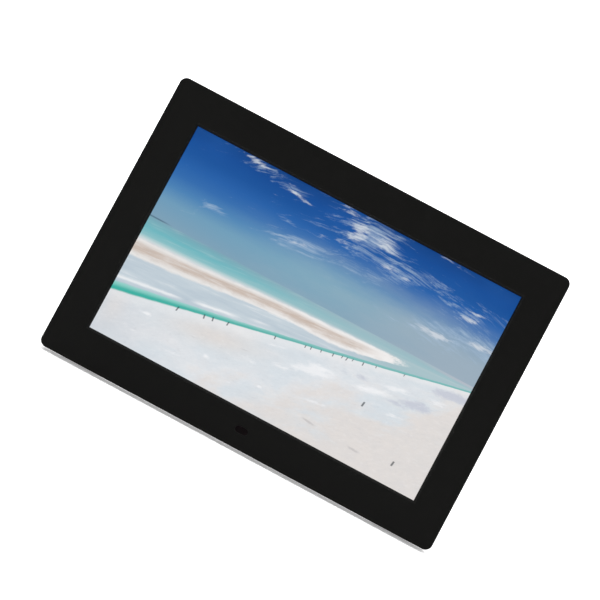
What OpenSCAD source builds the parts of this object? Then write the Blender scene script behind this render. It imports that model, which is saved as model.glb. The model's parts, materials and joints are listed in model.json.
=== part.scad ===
// Digital photo frame with a 10.1 inch 16:10 display, standing on its fold-out leg.
//
// Every sub-part is drawn in the device's own upright frame: X to the right as seen from the
// front, Y from the front face (y = 0) to the back, Z up from the bottom edge (z = 0).
// leaned() then tips the whole device back onto its feet and its leg, with the floor at z = 0.

/* [Body] */
// Width of the body
body_w = 261; // [250:0.5:275]
// Height of the body
body_h = 181; // [177:0.5:190]
// Radius of the body's four corners, seen from the front
corner_r = 4.5; // [3:0.5:6]
// Depth of the front bezel's side walls, which is also where the rear cover begins
bezel_depth = 7; // [7:0.25:8]
// Depth of the body at its rim
rim_depth = 10.5; // [10.5:0.25:12]
// Depth of the body over the rear hump
hump_depth = 24; // [24:0.5:28]
// Thickness of the moulded walls
wall = 2; // [1.6:0.1:2.2]

/* [Screen] */
// Width of the display's active area
active_w = 216.96; // [216:0.01:218]
// Height of the display's active area
active_h = 135.6; // [135:0.01:136.5]
// Width of the bevel round the window
window_bevel = 1.2; // [0.8:0.1:1.6]
// Outer width of the display module
module_w = 229.4; // [229:0.1:230]
// Outer height of the display module
module_h = 149; // [148.5:0.1:149.5]

/* [Stand] */
// Angle that the device leans back from upright, in degrees
lean = 15; // [12:1:18]
// Angle between the folded and the open leg, in degrees
leg_angle = 32; // [28:1:36]
// Height of the leg's pin above the bottom edge
hinge_z = 118; // [110:1:120]
// Radius of the leg's pin
pin_r = 1.5; // [1.25:0.05:1.6]
// Width of the leg at its shoulders
leg_w = 30; // [26:1:30]
// Thickness of the leg
leg_t = 5.4; // [5:0.1:5.6]

/* [Controls] */
// Distance between the centres of two buttons
button_pitch = 14; // [12.5:0.5:15]
// How far the buttons stand out of the rear cover
button_proud = 1.2; // [0.8:0.1:1.6]
// How far a button can be pressed
button_travel = 0.5; // [0.3:0.05:0.5]

/* [Hidden] */
$fn = 48;
tiny = 0.01;

// Heights and depths that several parts share
mid_z = body_h / 2;
side_wall = 1.8;
front_wall = 2;
window_w = active_w + 0.5;
window_h = active_h + 0.5;
gasket_t = 0.5;
glass_y = front_wall + gasket_t;
glass_t = 1.4;
stack_y = glass_y + glass_t;
films_t = 0.5;
guide_t = 1.5;
reflector_t = 0.3;
tray_y = stack_y + films_t + guide_t + reflector_t;
tray_t = 0.4;
panel_back_y = tray_y + tray_t;
guide_w = active_w + 1;
guide_h = active_h + 1.4;
led_channel = 3.4;

// The fence that locates the display module inside the bezel
fence_gap = 0.25;
fence_t = 1.2;
fence_y = 6;
fence_w = module_w + 2 * fence_gap;
fence_h = module_h + 2 * fence_gap;

// The rear cover's rim: a straight land at the parting line, then a slope inwards
rim_land = 0.6;
rim_draw = 2.2;

// The hump on the rear cover, which holds the electronics
hump_w = 182;
hump_z0 = 12;
hump_z1 = 146;
hump_corner_r = 12;
hump_edge_r = 3;
hump_draft = 1.5;
hump_inner_y = hump_depth - wall;
hump_side_x = hump_w / 2;

// The channel that the leg folds into
channel_w = 33.5;
channel_floor_y = 16.6;
channel_top_z = hinge_z + 13.5;
channel_wall = 1.8;

// The leg's pin, and the plate that carries it
pin_y = 20.6;
plate_t = 1;
ear_t = 1;
ear_x = 14;
washer_t = 0.5;
washer_gap = 0.05;
barrel_r = 2.7;
barrel_w = 2 * (ear_x - washer_t - 2 * washer_gap);
leg_pad_len = 8;

// The floor, as a line in the device's own frame: z = floor_z + y * tan(lean)
foot_y0 = 9;
floor_z = -foot_y0 * tan(lean);
function floor_at(y) = floor_z + y * tan(lean);
// Distance from the pin to the floor along the open leg, on a line that lies t behind its middle
function leg_reach(t) = (hinge_z + t * sin(leg_angle) - floor_at(pin_y + t * cos(leg_angle)))
    / (cos(leg_angle) + sin(leg_angle) * tan(lean));
leg_len = leg_reach(0);
leg_body_len = leg_len - leg_pad_len;
floor_gap = -floor_z * cos(lean);
// The origin is midway between the front lower edge and the leg's rear lower edge
tip_y = pin_y + leg_reach(leg_t / 2) * sin(leg_angle) + leg_t / 2 * cos(leg_angle);
origin_y = (tip_y * cos(lean) + floor_at(tip_y) * sin(lean)) / 2;

// The main board and its sockets
board_x0 = 22;
board_x1 = 86;
board_z0 = 50;
board_z1 = 142;
board_y = 9;
board_t = 1.6;
board_back_y = board_y + board_t;
board_holes = [[26.5, 54.5], [26.5, 137.5], [81.5, 54.5], [81.5, 137.5]];
port_face_x = 90;
power_z = 62;
headphone_z = 74;
mini_usb_z = 85.5;
usb_z = 99.5;
card_z = 121.5;
jack_r = 1.8;
jack_nose_r = 3.1;
jack_depth = 13;

// The buttons and the board behind them
button_names = ["menu", "left", "up", "down", "right", "exit", "power"];
button_z = 172;
button_w = 9;
button_h = 5.4;
button_r = 1.2;
button_gap = 0.2;
key_board_y = 3.6;
key_board_t = 1.2;
switch_y = key_board_y + key_board_t;
switch_h = 2.2;
switch_floor = 0.05;
switch_size = 6;
stem_r = 1.7;
stem_gap = 0.08;
flange_y = 7.6;
flange_t = 1;
icon_t = 0.2;
function button_x(i) = (i - 3) * button_pitch;

// Screws: [x, z] of the housing screws, the clamp bosses and the key board's bosses
housing_points = [
    for (sx = [-1, 1]) each [
        [sx * (body_w / 2 - 8.3), 8.3], [sx * (body_w / 2 - 8.3), body_h - 8.3],
        [sx * 66, 6.5], [sx * 66, body_h - 8]
    ]
];
housing_shank_r = 1.25;
housing_head_r = 2.4;
screw_seat_y = 8.4;
clamp_points = [for (sx = [-1, 1], z = [52, 129]) [sx * 121.3, z]];
clamp_boss_y = 6.6;
clamp_t = 0.6;
key_points = [[-52, button_z], [52, button_z]];
inner_shank_r = 0.95;
inner_head_r = 1.9;
inner_head_t = 1.2;
thread_gap = 0.03;
bracket_points = [[-8, hinge_z + 8], [8, hinge_z + 8]];

// The display's flat cable, and the connectors on the front of the main board
flex_x0 = 35;
flex_x1 = 63;
flex_t = 0.15;
flex_end_z = 62.5;
connector_h = 1.3;
key_cable_x = 46;

// The infrared receiver under the middle of the window
ir_z = 11.2;
ir_w = 8;
ir_h = 4;
ir_board_y = 6.2;
ir_board_t = 1;
ir_board_z = 8.6;
ir_board_back_y = ir_board_y + ir_board_t;
ir_stake_x = 9.8;
ir_stake_r = 0.8;

// The loudspeakers
speaker_points = [[-58, 31], [58, 31]];
speaker_r = 14;
speaker_seal_t = 0.5;
grille_r = 11.5;
grille_pitch = 3.3;
grille_slot = 1.4;
vent_w = 1.6;
vent_h = 22;

// Wall-mounting keyholes in the hump's rear face
keyhole_points = [[-62, 126], [62, 126]];
keyhole_head_r = 4;
keyhole_slot_r = 2;
keyhole_rise = 9;

// Wires: radius, and hand-placed points in the device's own frame
wire_r = 0.6;
left_lead = [
    [-47.5, 14.4, 31], [-43, 13.4, 34], [-34, 11.6, 40], [-21, 10, 44], [-6, 9.4, 45],
    [8, 9.4, 45.5], [18, 9.8, 46], [25, 10.8, 47], [31, 12, 48.5], [35, 12.6, 51.5], [36, 12.6, 55]
];
right_lead = [
    [47.5, 14.4, 31], [44, 13.8, 34.5], [42.6, 13, 40], [43.6, 12.7, 46], [44.8, 12.6, 51], [45, 12.6, 55]
];
ir_lead = [
    [6, 7.8, 10.5], [10, 7.8, 11.6], [16, 7.8, 16.5], [24, 8, 24], [32, 8.2, 32],
    [40, 8.4, 38.5], [47, 9.2, 44], [52, 11, 48.5], [53.8, 12.3, 52], [54, 12.6, 55]
];

// ---------------------------------------------------------------- helpers

// Tips the device back onto the floor
module leaned() {
    translate([0, -origin_y, floor_gap]) rotate([-lean, 0, 0]) children();
}

// Swings the leg's parts from folded to open, about the pin
module opened() {
    translate([0, pin_y, hinge_z]) rotate([leg_angle, 0, 0]) children();
}

// Extrudes a shape drawn in X and Z from depth y0 to depth y1
module prism(y0, y1) {
    translate([0, y1, 0]) rotate([90, 0, 0]) linear_extrude(y1 - y0) children();
}

// Extrudes a shape drawn in Y and Z from x0 to x1
module across(x0, x1) {
    translate([x0, 0, 0]) rotate([90, 0, 90]) linear_extrude(x1 - x0) children();
}

module rod(x, z, r, y0, y1) {
    translate([x, y1, z]) rotate([90, 0, 0]) cylinder(r = r, h = y1 - y0);
}

module rod_x(y, z, r, x0, x1) {
    translate([x0, y, z]) rotate([0, 90, 0]) cylinder(r = r, h = x1 - x0);
}

module block(x0, x1, y0, y1, z0, z1) {
    translate([x0, y0, z0]) cube([x1 - x0, y1 - y0, z1 - z0]);
}

// A block centred on x and z
module plate(x, z, w, h, y0, y1) {
    block(x - w / 2, x + w / 2, y0, y1, z - h / 2, z + h / 2);
}

module rounded_rect(w, h, r) {
    square([w - 2 * r, h], center = true);
    square([w, h - 2 * r], center = true);
    for (sx = [-1, 1], sz = [-1, 1])
        translate([sx * (w / 2 - r), sz * (h / 2 - r)]) circle(r = r);
}

// A rounded block centred on x and z
module rounded_plate(x, z, w, h, r, y0, y1) {
    translate([x, 0, z]) prism(y0, y1) rounded_rect(w, h, r);
}

// A rectangular ring centred on the screen, with walls t thick inside w by h
module ring(w, h, t, y0, y1) {
    difference() {
        plate(0, mid_z, w, h, y0, y1);
        plate(0, mid_z, w - 2 * t, h - 2 * t, y0 - 1, y1 + 1);
    }
}

// A pan-head screw that enters from behind: its head's seat is at y, its tip len in front
module screw(x, z, y, shank_r, head_r, head_t, len) {
    difference() {
        union() {
            rod(x, z, shank_r, y - len, y + tiny);
            rod(x, z, head_r, y, y + head_t);
        }
        for (a = [45, 135]) translate([x, y + head_t - 0.35, z]) rotate([0, a, 0])
            cube([head_r * 1.25, 0.8, head_r * 0.3], center = true);
    }
}

function unit(v) = v / norm(v);
function catmull(p, i, t) = let (
    a = p[max(i - 1, 0)], b = p[i], c = p[i + 1], d = p[min(i + 2, len(p) - 1)]
) 0.5 * (2 * b + (c - a) * t + (2 * a - 5 * b + 4 * c - d) * t * t
    + (3 * b - a - 3 * c + d) * t * t * t);
function smooth_path(p, steps) = [
    for (i = [0 : len(p) - 2], k = [0 : steps - 1]) catmull(p, i, k / steps), p[len(p) - 1]
];
function heading(p, i) = unit(p[min(i + 1, len(p) - 1)] - p[max(i - 1, 0)]);

// Outline of a band t thick along a line of [depth, height] points
function band_side(p, i, d) = let (
    a = unit(p[min(i + 1, len(p) - 1)] - p[max(i - 1, 0)])
) p[i] + d * [-a[1], a[0]];
function band(p, t) = concat(
    [for (i = [0 : len(p) - 1]) band_side(p, i, t / 2)],
    [for (i = [len(p) - 1 : -1 : 0]) band_side(p, i, -t / 2)]
);

// A round wire of radius r swept along a smooth curve through the points, rings square to it
module wire(points, r, sides = 8, steps = 3) {
    path = smooth_path(points, steps);
    rings = [
        for (i = [0 : len(path) - 1]) let (
            d = heading(path, i),
            u = unit(cross(d, [0, 1, 0.01])),
            v = cross(d, u)
        ) for (k = [0 : sides - 1]) path[i] + r * (u * cos(360 * k / sides) + v * sin(360 * k / sides))
    ];
    n = len(path);
    faces = concat(
        [for (i = [0 : n - 2], k = [0 : sides - 1]) [
            i * sides + k, i * sides + (k + 1) % sides,
            (i + 1) * sides + (k + 1) % sides, (i + 1) * sides + k
        ]],
        [[for (k = [sides - 1 : -1 : 0]) k]],
        [[for (k = [0 : sides - 1]) (n - 1) * sides + k]]
    );
    polyhedron(rings, faces, convexity = 8);
}

// ---------------------------------------------------------------- front

module front_bezel() {
    bosses = concat(
        [for (p = housing_points) [p, 3.1, bezel_depth, housing_shank_r]],
        [for (p = clamp_points) [p, 2.6, clamp_boss_y, inner_shank_r]],
        [for (p = key_points) [p, 2.4, key_board_y, inner_shank_r]]
    );
    color([0.09, 0.09, 0.085]) leaned() difference() {
        union() {
            difference() {
                rounded_plate(0, mid_z, body_w, body_h, corner_r, 0, bezel_depth);
                rounded_plate(0, mid_z, body_w - 2 * side_wall, body_h - 2 * side_wall,
                    corner_r - side_wall, front_wall, bezel_depth + 1);
            }
            ring(fence_w + 2 * fence_t, fence_h + 2 * fence_t, fence_t, front_wall - tiny, fence_y);
            for (b = bosses) rod(b[0][0], b[0][1], b[1], front_wall - tiny, b[2]);
            // posts that carry the infrared board, with heat-formed heads behind it
            for (sx = [-1, 1]) {
                rod(sx * ir_stake_x, ir_board_z, 1.7, front_wall - tiny, ir_board_y);
                rod(sx * ir_stake_x, ir_board_z, ir_stake_r, ir_board_y - tiny, ir_board_back_y + tiny);
                rod(sx * ir_stake_x, ir_board_z, 1.4, ir_board_back_y, ir_board_back_y + 0.5);
            }
        }
        plate(0, mid_z, window_w, window_h, -1, front_wall + 1);
        hull() {
            plate(0, mid_z, window_w + 2 * window_bevel, window_h + 2 * window_bevel, -0.02, 0);
            plate(0, mid_z, window_w, window_h, window_bevel - 0.02, window_bevel);
        }
        rounded_plate(0, ir_z, ir_w + 0.1, ir_h + 0.1, ir_h / 2, -1, front_wall + 1);
        for (b = bosses) rod(b[0][0], b[0][1], b[3] + thread_gap, front_wall - 0.8, b[2] + 1);
        // gap in the fence for the display's flat cable
        block(flex_x0 - 2, flex_x1 + 2, front_wall, fence_y + 1, 10, mid_z - fence_h / 2 + 1);
    }
}

module ir_window() {
    color([0.05, 0.02, 0.03]) leaned() {
        rounded_plate(0, ir_z, ir_w, ir_h, ir_h / 2 - tiny, 0.15, front_wall);
        rounded_plate(0, ir_z - 0.3, ir_w + 2.6, ir_h + 1.8, 2, front_wall, front_wall + 0.6);
    }
}

module screen_gasket() {
    color([0.13, 0.13, 0.13]) leaned()
        ring(module_w - 2.4, module_h - 2.4, 3.2, front_wall, glass_y);
}

// Two bonded sheets: the thin-film sheet is taller and leaves a ledge for the flat cable
module lcd_glass() {
    ledge = 4.6;
    sheet_w = module_w - 1.6;
    sheet_h = module_h - 1.6;
    color([0.1, 0.35, 0.6]) leaned() {
        block(-sheet_w / 2, sheet_w / 2, glass_y, glass_y + glass_t / 2 + tiny,
            mid_z - sheet_h / 2 + ledge, mid_z + sheet_h / 2);
        plate(0, mid_z, sheet_w, sheet_h, glass_y + glass_t / 2, stack_y);
    }
}

module diffuser_films() {
    color([0.93, 0.94, 0.95]) leaned()
        plate(0, mid_z, guide_w, guide_h, stack_y, stack_y + films_t);
}

module light_guide() {
    color([0.85, 0.92, 0.95]) leaned()
        plate(0, mid_z, guide_w, guide_h, stack_y + films_t, stack_y + films_t + guide_t);
}

module reflector_sheet() {
    color([0.97, 0.97, 0.97]) leaned()
        plate(0, mid_z, guide_w, guide_h, tray_y - reflector_t, tray_y);
}

module lcd_mid_frame() {
    frame_w = module_w - 2 * tray_t - 0.1;
    frame_h = module_h - 2 * tray_t - 0.1;
    color([0.95, 0.95, 0.93]) leaned() difference() {
        plate(0, mid_z, frame_w, frame_h, stack_y, tray_y);
        block(-guide_w / 2, guide_w / 2, stack_y - 1, tray_y + 1,
            mid_z - guide_h / 2 - led_channel, mid_z + guide_h / 2);
    }
}

module lcd_back_plate() {
    color([0.72, 0.73, 0.74]) leaned() difference() {
        union() {
            plate(0, mid_z, module_w, module_h, tray_y, panel_back_y);
            ring(module_w, module_h, tray_t, stack_y, tray_y + tiny);
        }
        // the flat cable passes through the lower wall
        block(flex_x0 - 1, flex_x1 + 1, stack_y - 1, tray_y, 0, mid_z - module_h / 2 + tray_t);
        // pressed stiffening slots
        for (sx = [-1, 1], dz = [-40, 40]) plate(sx * 100, mid_z + dz, 4, 30, tray_y - 1, panel_back_y + 1);
    }
}

led_z = mid_z - guide_h / 2 - 1.5;

module led_strip() {
    color([0.9, 0.88, 0.8]) leaned()
        plate(0, mid_z - guide_h / 2 - led_channel / 2, 206, led_channel - 0.2, tray_y - 0.3, tray_y);
}

module backlight_leds() {
    led_count = 24;
    color([0.98, 0.95, 0.7]) leaned() for (i = [0 : led_count - 1])
        plate((i - (led_count - 1) / 2) * 8.6, led_z, 3.4, 2.6, stack_y + 0.6, tray_y - 0.3);
}

// Flat cable from the front of the display's ledge, round its lower edge and up to the main board
module display_flex() {
    bend_r = flex_t / 2 + 0.05;
    corner_z = mid_z - module_h / 2;
    front_y = glass_y + (glass_t - flex_t) / 2;
    low_z = corner_z - bend_r;
    end_y = board_y - connector_h - flex_t / 2;
    color([0.75, 0.45, 0.12]) leaned() across(flex_x0, flex_x1) polygon(band(concat(
        [[front_y, corner_z + 4], [front_y, low_z + 0.5]],
        [[front_y + 0.15, low_z + 0.15], [front_y + 0.5, low_z]],
        [for (a = [-90 : 30 : 0]) [panel_back_y + bend_r * cos(a), corner_z + bend_r * sin(a)]],
        [[panel_back_y + bend_r, 50], [end_y, flex_end_z - 1.5], [end_y, flex_end_z + 1.5]]
    ), flex_t));
}

module panel_clamps() {
    back_y = clamp_boss_y + clamp_t;
    color([0.7, 0.7, 0.72]) leaned() for (p = clamp_points) difference() {
        inward = p[0] > 0 ? -2.9 : 2.9;
        plate(p[0] + inward, p[1], 13, 10, clamp_boss_y, back_y);
        rod(p[0], p[1], inner_shank_r + 0.1, clamp_boss_y - 1, back_y + 1);
    }
}

// ---------------------------------------------------------------- rear cover

// A disc with a rounded rear edge, for the corners of the hump
module puck(r, edge_r, y0, y1) {
    steps = 5;
    translate([0, y0, 0]) rotate([-90, 0, 0]) rotate_extrude($fn = 32) polygon(concat(
        [[0, 0], [r, 0]],
        [for (k = [0 : steps]) [
            r - edge_r + edge_r * cos(90 * k / steps),
            y1 - y0 - edge_r + edge_r * sin(90 * k / steps)
        ]],
        [[0, y1 - y0]]
    ));
}

// The hump's outline, shrunk by inset all round
module hump_shape(inset, y0, y1) {
    r = hump_corner_r - inset;
    edge = max(hump_edge_r - inset, 0.8);
    z_mid = (hump_z0 + hump_z1) / 2;
    half_w = hump_side_x - inset - r;
    half_h = (hump_z1 - hump_z0) / 2 - inset - r;
    hull() for (sx = [-1, 1], sz = [-1, 1]) {
        translate([sx * half_w, 0, z_mid + sz * half_h]) puck(r, 0.5, y0, y0 + 1);
        translate([sx * (half_w - hump_draft), 0, z_mid + sz * (half_h - hump_draft)])
            puck(r, edge, y0, y1);
    }
}

// The rim: full size at the parting line, then drawn in towards the back
module rim_shape() {
    hull() {
        rounded_plate(0, mid_z, body_w, body_h, corner_r, bezel_depth, bezel_depth + rim_land, $fn = 32);
        rounded_plate(0, mid_z, body_w - 2 * rim_draw, body_h - 2 * rim_draw, corner_r,
            rim_depth - 0.1, rim_depth, $fn = 32);
    }
}

module channel_shape(grow, floor_y) {
    w = channel_w + 2 * grow;
    block(-w / 2, w / 2, floor_y, hump_depth + 1, -1, channel_top_z + grow);
}

module keyhole(p) {
    rod(p[0], p[1], keyhole_head_r, hump_inner_y - 0.5, hump_depth + 1);
    rod(p[0], p[1] + keyhole_rise, keyhole_slot_r, hump_inner_y - 0.5, hump_depth + 1);
    block(p[0] - keyhole_slot_r, p[0] + keyhole_slot_r, hump_inner_y - 0.5, hump_depth + 1,
        p[1], p[1] + keyhole_rise);
}

// Vertical slots whose lengths fill a circle
module grille(p) {
    count = floor(grille_r / grille_pitch);
    for (i = [-count : count]) {
        x = i * grille_pitch;
        half = sqrt(grille_r * grille_r - x * x);
        plate(p[0] + x, p[1], grille_slot, 2 * half, hump_inner_y - 1, hump_depth + 1);
    }
}

module vents() {
    for (sx = [-1, 1], i = [0 : 6])
        plate(sx * (30 + i * 5), 76, vent_w, vent_h, hump_inner_y - 1, hump_depth + 1);
}

module button_holes() {
    for (i = [0 : len(button_names) - 1])
        rounded_plate(button_x(i), button_z, button_w + 2 * button_gap, button_h + 2 * button_gap,
            button_r + button_gap, bezel_depth - 1, rim_depth + 1);
}

// Openings in the hump's right side for the sockets
module port_openings() {
    x0 = port_face_x - 4;
    x1 = port_face_x + 3;
    rod_x(16.1, power_z, 4.1, x0, x1);
    rod_x(13.9, headphone_z, jack_nose_r + 0.2, x0, x1);
    block(x0, x1, board_back_y - 0.1, board_back_y + 4.3, mini_usb_z - 4.2, mini_usb_z + 4.2);
    block(x0, x1, board_back_y + 0.1, board_back_y + 7.5, usb_z - 7, usb_z + 7);
    block(x0, x1, board_back_y - 0.1, board_back_y + 3.2, card_z - 13.2, card_z + 13.2);
}

module rear_cover() {
    lip_t = 1;
    lip_w = body_w - 2 * (side_wall + 0.1);
    lip_h = body_h - 2 * (side_wall + 0.1);
    color([0.1, 0.1, 0.095]) leaned() {
        difference() {
            union() {
                rim_shape();
                hump_shape(0, rim_depth - 1, hump_depth);
            }
            difference() {
                union() {
                    rounded_plate(0, mid_z, lip_w - 2 * lip_t, lip_h - 2 * lip_t, 1.2,
                        bezel_depth - 1, rim_depth - side_wall);
                    hump_shape(wall, rim_depth - side_wall - 1, hump_inner_y);
                }
                channel_shape(channel_wall, channel_floor_y - channel_wall);
                // counterbored bosses that meet the bezel's bosses
                for (p = housing_points) rod(p[0], p[1], 3.8, bezel_depth, rim_depth);
            }
            channel_shape(0, channel_floor_y);
            for (p = housing_points) {
                rod(p[0], p[1], housing_head_r + 0.3, screw_seat_y, rim_depth + 1);
                rod(p[0], p[1], housing_shank_r + 0.1, bezel_depth - 1, screw_seat_y + 1);
            }
            for (p = bracket_points) rod(p[0], p[1], inner_shank_r + thread_gap,
                channel_floor_y - channel_wall - 1, channel_floor_y + 1);
            for (p = keyhole_points) keyhole(p);
            for (p = speaker_points) grille(p);
            vents();
            button_holes();
            port_openings();
        }
        // lip that centres the cover in the bezel
        difference() {
            rounded_plate(0, mid_z, lip_w, lip_h, 2.4, bezel_depth - 1.4, bezel_depth + tiny);
            rounded_plate(0, mid_z, lip_w - 2 * lip_t, lip_h - 2 * lip_t, 1.2,
                bezel_depth - 2, bezel_depth + 1);
        }
        // collars that locate the loudspeakers
        for (p = speaker_points) difference() {
            rod(p[0], p[1], speaker_r + 1.8, speaker_top_y - 4, hump_inner_y + tiny);
            rod(p[0], p[1], speaker_r + 0.3, speaker_top_y - 5, hump_inner_y + 1);
        }
        // bosses for the main board
        for (p = board_holes) difference() {
            rod(p[0], p[1], 2.8, board_back_y, hump_inner_y + tiny);
            rod(p[0], p[1], inner_shank_r + thread_gap, board_back_y - 1, board_back_y + 8);
        }
    }
}

module housing_screws() {
    color([0.12, 0.12, 0.13]) leaned() for (p = housing_points)
        screw(p[0], p[1], screw_seat_y, housing_shank_r, housing_head_r, 1.4, 5);
}

// Small screws for the clamps, the key board and the main board
module inner_screws() {
    color([0.75, 0.75, 0.77]) leaned() {
        for (p = clamp_points)
            screw(p[0], p[1], clamp_boss_y + clamp_t, inner_shank_r, inner_head_r, inner_head_t, 3.6);
        for (p = key_points)
            screw(p[0], p[1], switch_y, inner_shank_r, inner_head_r, inner_head_t, 2.9);
        for (p = board_holes) translate([0, board_y, 0]) mirror([0, 1, 0])
            screw(p[0], p[1], 0, inner_shank_r, inner_head_r, inner_head_t, 7);
    }
}

// Feet on the lower rear edge, cut to lie flat on the floor
module rubber_feet() {
    foot_w = 24;
    foot_y1 = 15;
    rim_front = bezel_depth + rim_land;
    color([0.16, 0.16, 0.16]) leaned() for (sx = [-1, 1])
        across(sx * 104 - foot_w / 2, sx * 104 + foot_w / 2) polygon([
            [foot_y0, floor_at(foot_y0)], [foot_y1 - 1, floor_at(foot_y1 - 1)],
            [foot_y1, floor_at(foot_y1) + 1], [foot_y1, 6.5], [foot_y1 - 1.5, 8], [rim_depth, 8],
            [rim_depth, rim_draw],
            [foot_y0, rim_draw * (foot_y0 - rim_front) / (rim_depth - rim_front)]
        ]);
}

// ---------------------------------------------------------------- electronics

module main_board() {
    color([0.05, 0.32, 0.16]) leaned() difference() {
        prism(board_y, board_back_y) polygon([
            [board_x0, board_z0], [board_x1, board_z0], [board_x1, board_z1 - 3.5],
            [board_x1 - 3.5, board_z1], [board_x0, board_z1]
        ]);
        for (p = board_holes) rod(p[0], p[1], 1.2, board_y - 1, board_back_y + 1);
    }
}

module processor() {
    color([0.12, 0.12, 0.13]) leaned() {
        plate(52, 86, 16, 16, board_back_y, board_back_y + 1.4);
        plate(52, 86, 18.4, 18.4, board_back_y, board_back_y + 0.25);
    }
}

module memory_chips() {
    color([0.12, 0.12, 0.13]) leaned() {
        plate(52, 107, 8, 12, board_back_y, board_back_y + 1.1);
        plate(34, 86, 6, 5, board_back_y, board_back_y + 1.6);
        plate(36, 66, 5, 4, board_back_y, board_back_y + 1.5);
    }
}

module board_capacitors() {
    color([0.75, 0.75, 0.78]) leaned() for (p = [[66, 68], [66, 76], [34, 112]]) {
        rod(p[0], p[1], 3.1, board_back_y + 0.8, board_back_y + 5.6);
        plate(p[0], p[1], 6.6, 6.6, board_back_y, board_back_y + 0.8);
    }
}

module power_inductor() {
    color([0.25, 0.25, 0.26]) leaned()
        rounded_plate(50, 66, 7.3, 7.3, 1.5, board_back_y, board_back_y + 3.4);
}

module crystal() {
    color([0.8, 0.8, 0.82]) leaned()
        rounded_plate(34, 99, 4.6, 11, 2.2, board_back_y, board_back_y + 3.5);
}

// Low connectors: the display's and the keys' on the board's front, the wires' on its back
module board_connectors() {
    color([0.93, 0.9, 0.82]) leaned() {
        plate((flex_x0 + flex_x1) / 2, flex_end_z, 30, 4, board_y - connector_h, board_y);
        plate(key_cable_x, 137.5, 14, 4, board_y - connector_h, board_y);
        for (x = [36, 45, 54]) plate(x, 57, 5, 4, board_back_y, board_back_y + 3);
    }
}

// A thin-walled metal socket that opens towards +X
module socket_shell(z, w, y0, h, x0, t) {
    difference() {
        block(x0, port_face_x, y0, y0 + h, z - w / 2, z + w / 2);
        block(x0 + t, port_face_x + 1, y0 + t, y0 + h - t, z - w / 2 + t, z + w / 2 - t);
    }
}

module card_socket() {
    color([0.78, 0.78, 0.8]) leaned() socket_shell(card_z, 26, board_back_y, 3, 62, 0.3);
}

module usb_socket() {
    color([0.78, 0.78, 0.8]) leaned() {
        socket_shell(usb_z, 13.2, board_back_y + 0.6, 6, 74, 0.3);
        plate(75.5, usb_z, 3, 12, board_back_y, board_back_y + 0.6);
        block(74.2, 88.6, board_back_y + 1.5, board_back_y + 3.3, usb_z - 5.5, usb_z + 5.5);
    }
}

module mini_usb_socket() {
    color([0.78, 0.78, 0.8]) leaned() {
        socket_shell(mini_usb_z, 7.8, board_back_y, 4, 80, 0.3);
        block(80.2, 88.6, board_back_y + 1.5, board_back_y + 2.3, mini_usb_z - 2.6, mini_usb_z + 2.6);
    }
}

module headphone_socket() {
    color([0.14, 0.14, 0.15]) leaned() difference() {
        union() {
            block(74, 87, board_back_y, board_back_y + 6, headphone_z - 3.3, headphone_z + 3.3);
            rod_x(13.9, headphone_z, jack_nose_r, 87 - tiny, port_face_x + 0.6);
        }
        rod_x(13.9, headphone_z, jack_r, port_face_x + 0.6 - jack_depth, port_face_x + 1);
    }
}

module power_socket() {
    pin_tip_x = 86;
    color([0.12, 0.12, 0.13]) leaned() {
        difference() {
            block(74, 87, board_back_y, board_back_y + 9.8, power_z - 4.5, power_z + 4.5);
            rod_x(16.1, power_z, 2.9, 76, 88);
        }
        rod_x(16.1, power_z, 1, 76 - tiny, pin_tip_x);
    }
}

module key_board() {
    color([0.05, 0.32, 0.16]) leaned() difference() {
        plate(0, button_z, 110, 10.6, key_board_y, switch_y);
        for (p = key_points) rod(p[0], p[1], 1.2, key_board_y - 1, switch_y + 1);
    }
}

// Ribbon from the key board, over the display's upper edge and down to the main board
module key_cable() {
    t = 0.3;
    board_side = switch_y + t / 2;
    display_side = panel_back_y + 0.5;
    end_y = board_y - 0.75;
    color([0.85, 0.85, 0.83]) leaned()
        across(key_cable_x - 3, key_cable_x + 3) polygon(band([
            [board_side, 168.8], [board_side + 0.25, 168.2], [display_side, 166.2],
            [display_side, 146], [end_y, 141], [end_y, 139.5]
        ], t));
}

module switch_bases() {
    color([0.2, 0.2, 0.21]) leaned() for (i = [0 : len(button_names) - 1]) difference() {
        plate(button_x(i), button_z, switch_size, switch_size, switch_y, switch_y + switch_h);
        rod(button_x(i), button_z, stem_r + stem_gap, switch_y + switch_floor, switch_y + switch_h + 1);
    }
}

module ir_board() {
    color([0.05, 0.32, 0.16]) leaned()
        difference() {
            plate(0, ir_board_z, 24, 8.6, ir_board_y, ir_board_back_y);
            for (sx = [-1, 1])
                rod(sx * ir_stake_x, ir_board_z, ir_stake_r + 0.1, ir_board_y - 1, ir_board_back_y + 1);
        }
}

// Infrared receiver with its domed lens behind the window
module ir_receiver() {
    dome_y = 3.7;
    color([0.1, 0.08, 0.1]) leaned() {
        plate(0, ir_z - 1.3, 6, 6.4, dome_y + 0.4, ir_board_y);
        intersection() {
            translate([0, dome_y + 1.6, ir_z]) sphere(r = 2);
            plate(0, ir_z, 6, 6, dome_y - 1, dome_y + 0.4 + tiny);
        }
    }
}

module ir_cable() {
    color([0.3, 0.3, 0.32]) leaned() wire(ir_lead, wire_r);
}

// ---------------------------------------------------------------- loudspeakers

// A ring of revolution about the loudspeaker's own axis, drawn as [radius, depth]
module turned(p) {
    translate([p[0], 0, p[1]]) rotate([-90, 0, 0]) rotate_extrude() children();
}

speaker_top_y = hump_inner_y - speaker_seal_t;
basket_y = speaker_top_y - 6.5;

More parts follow.
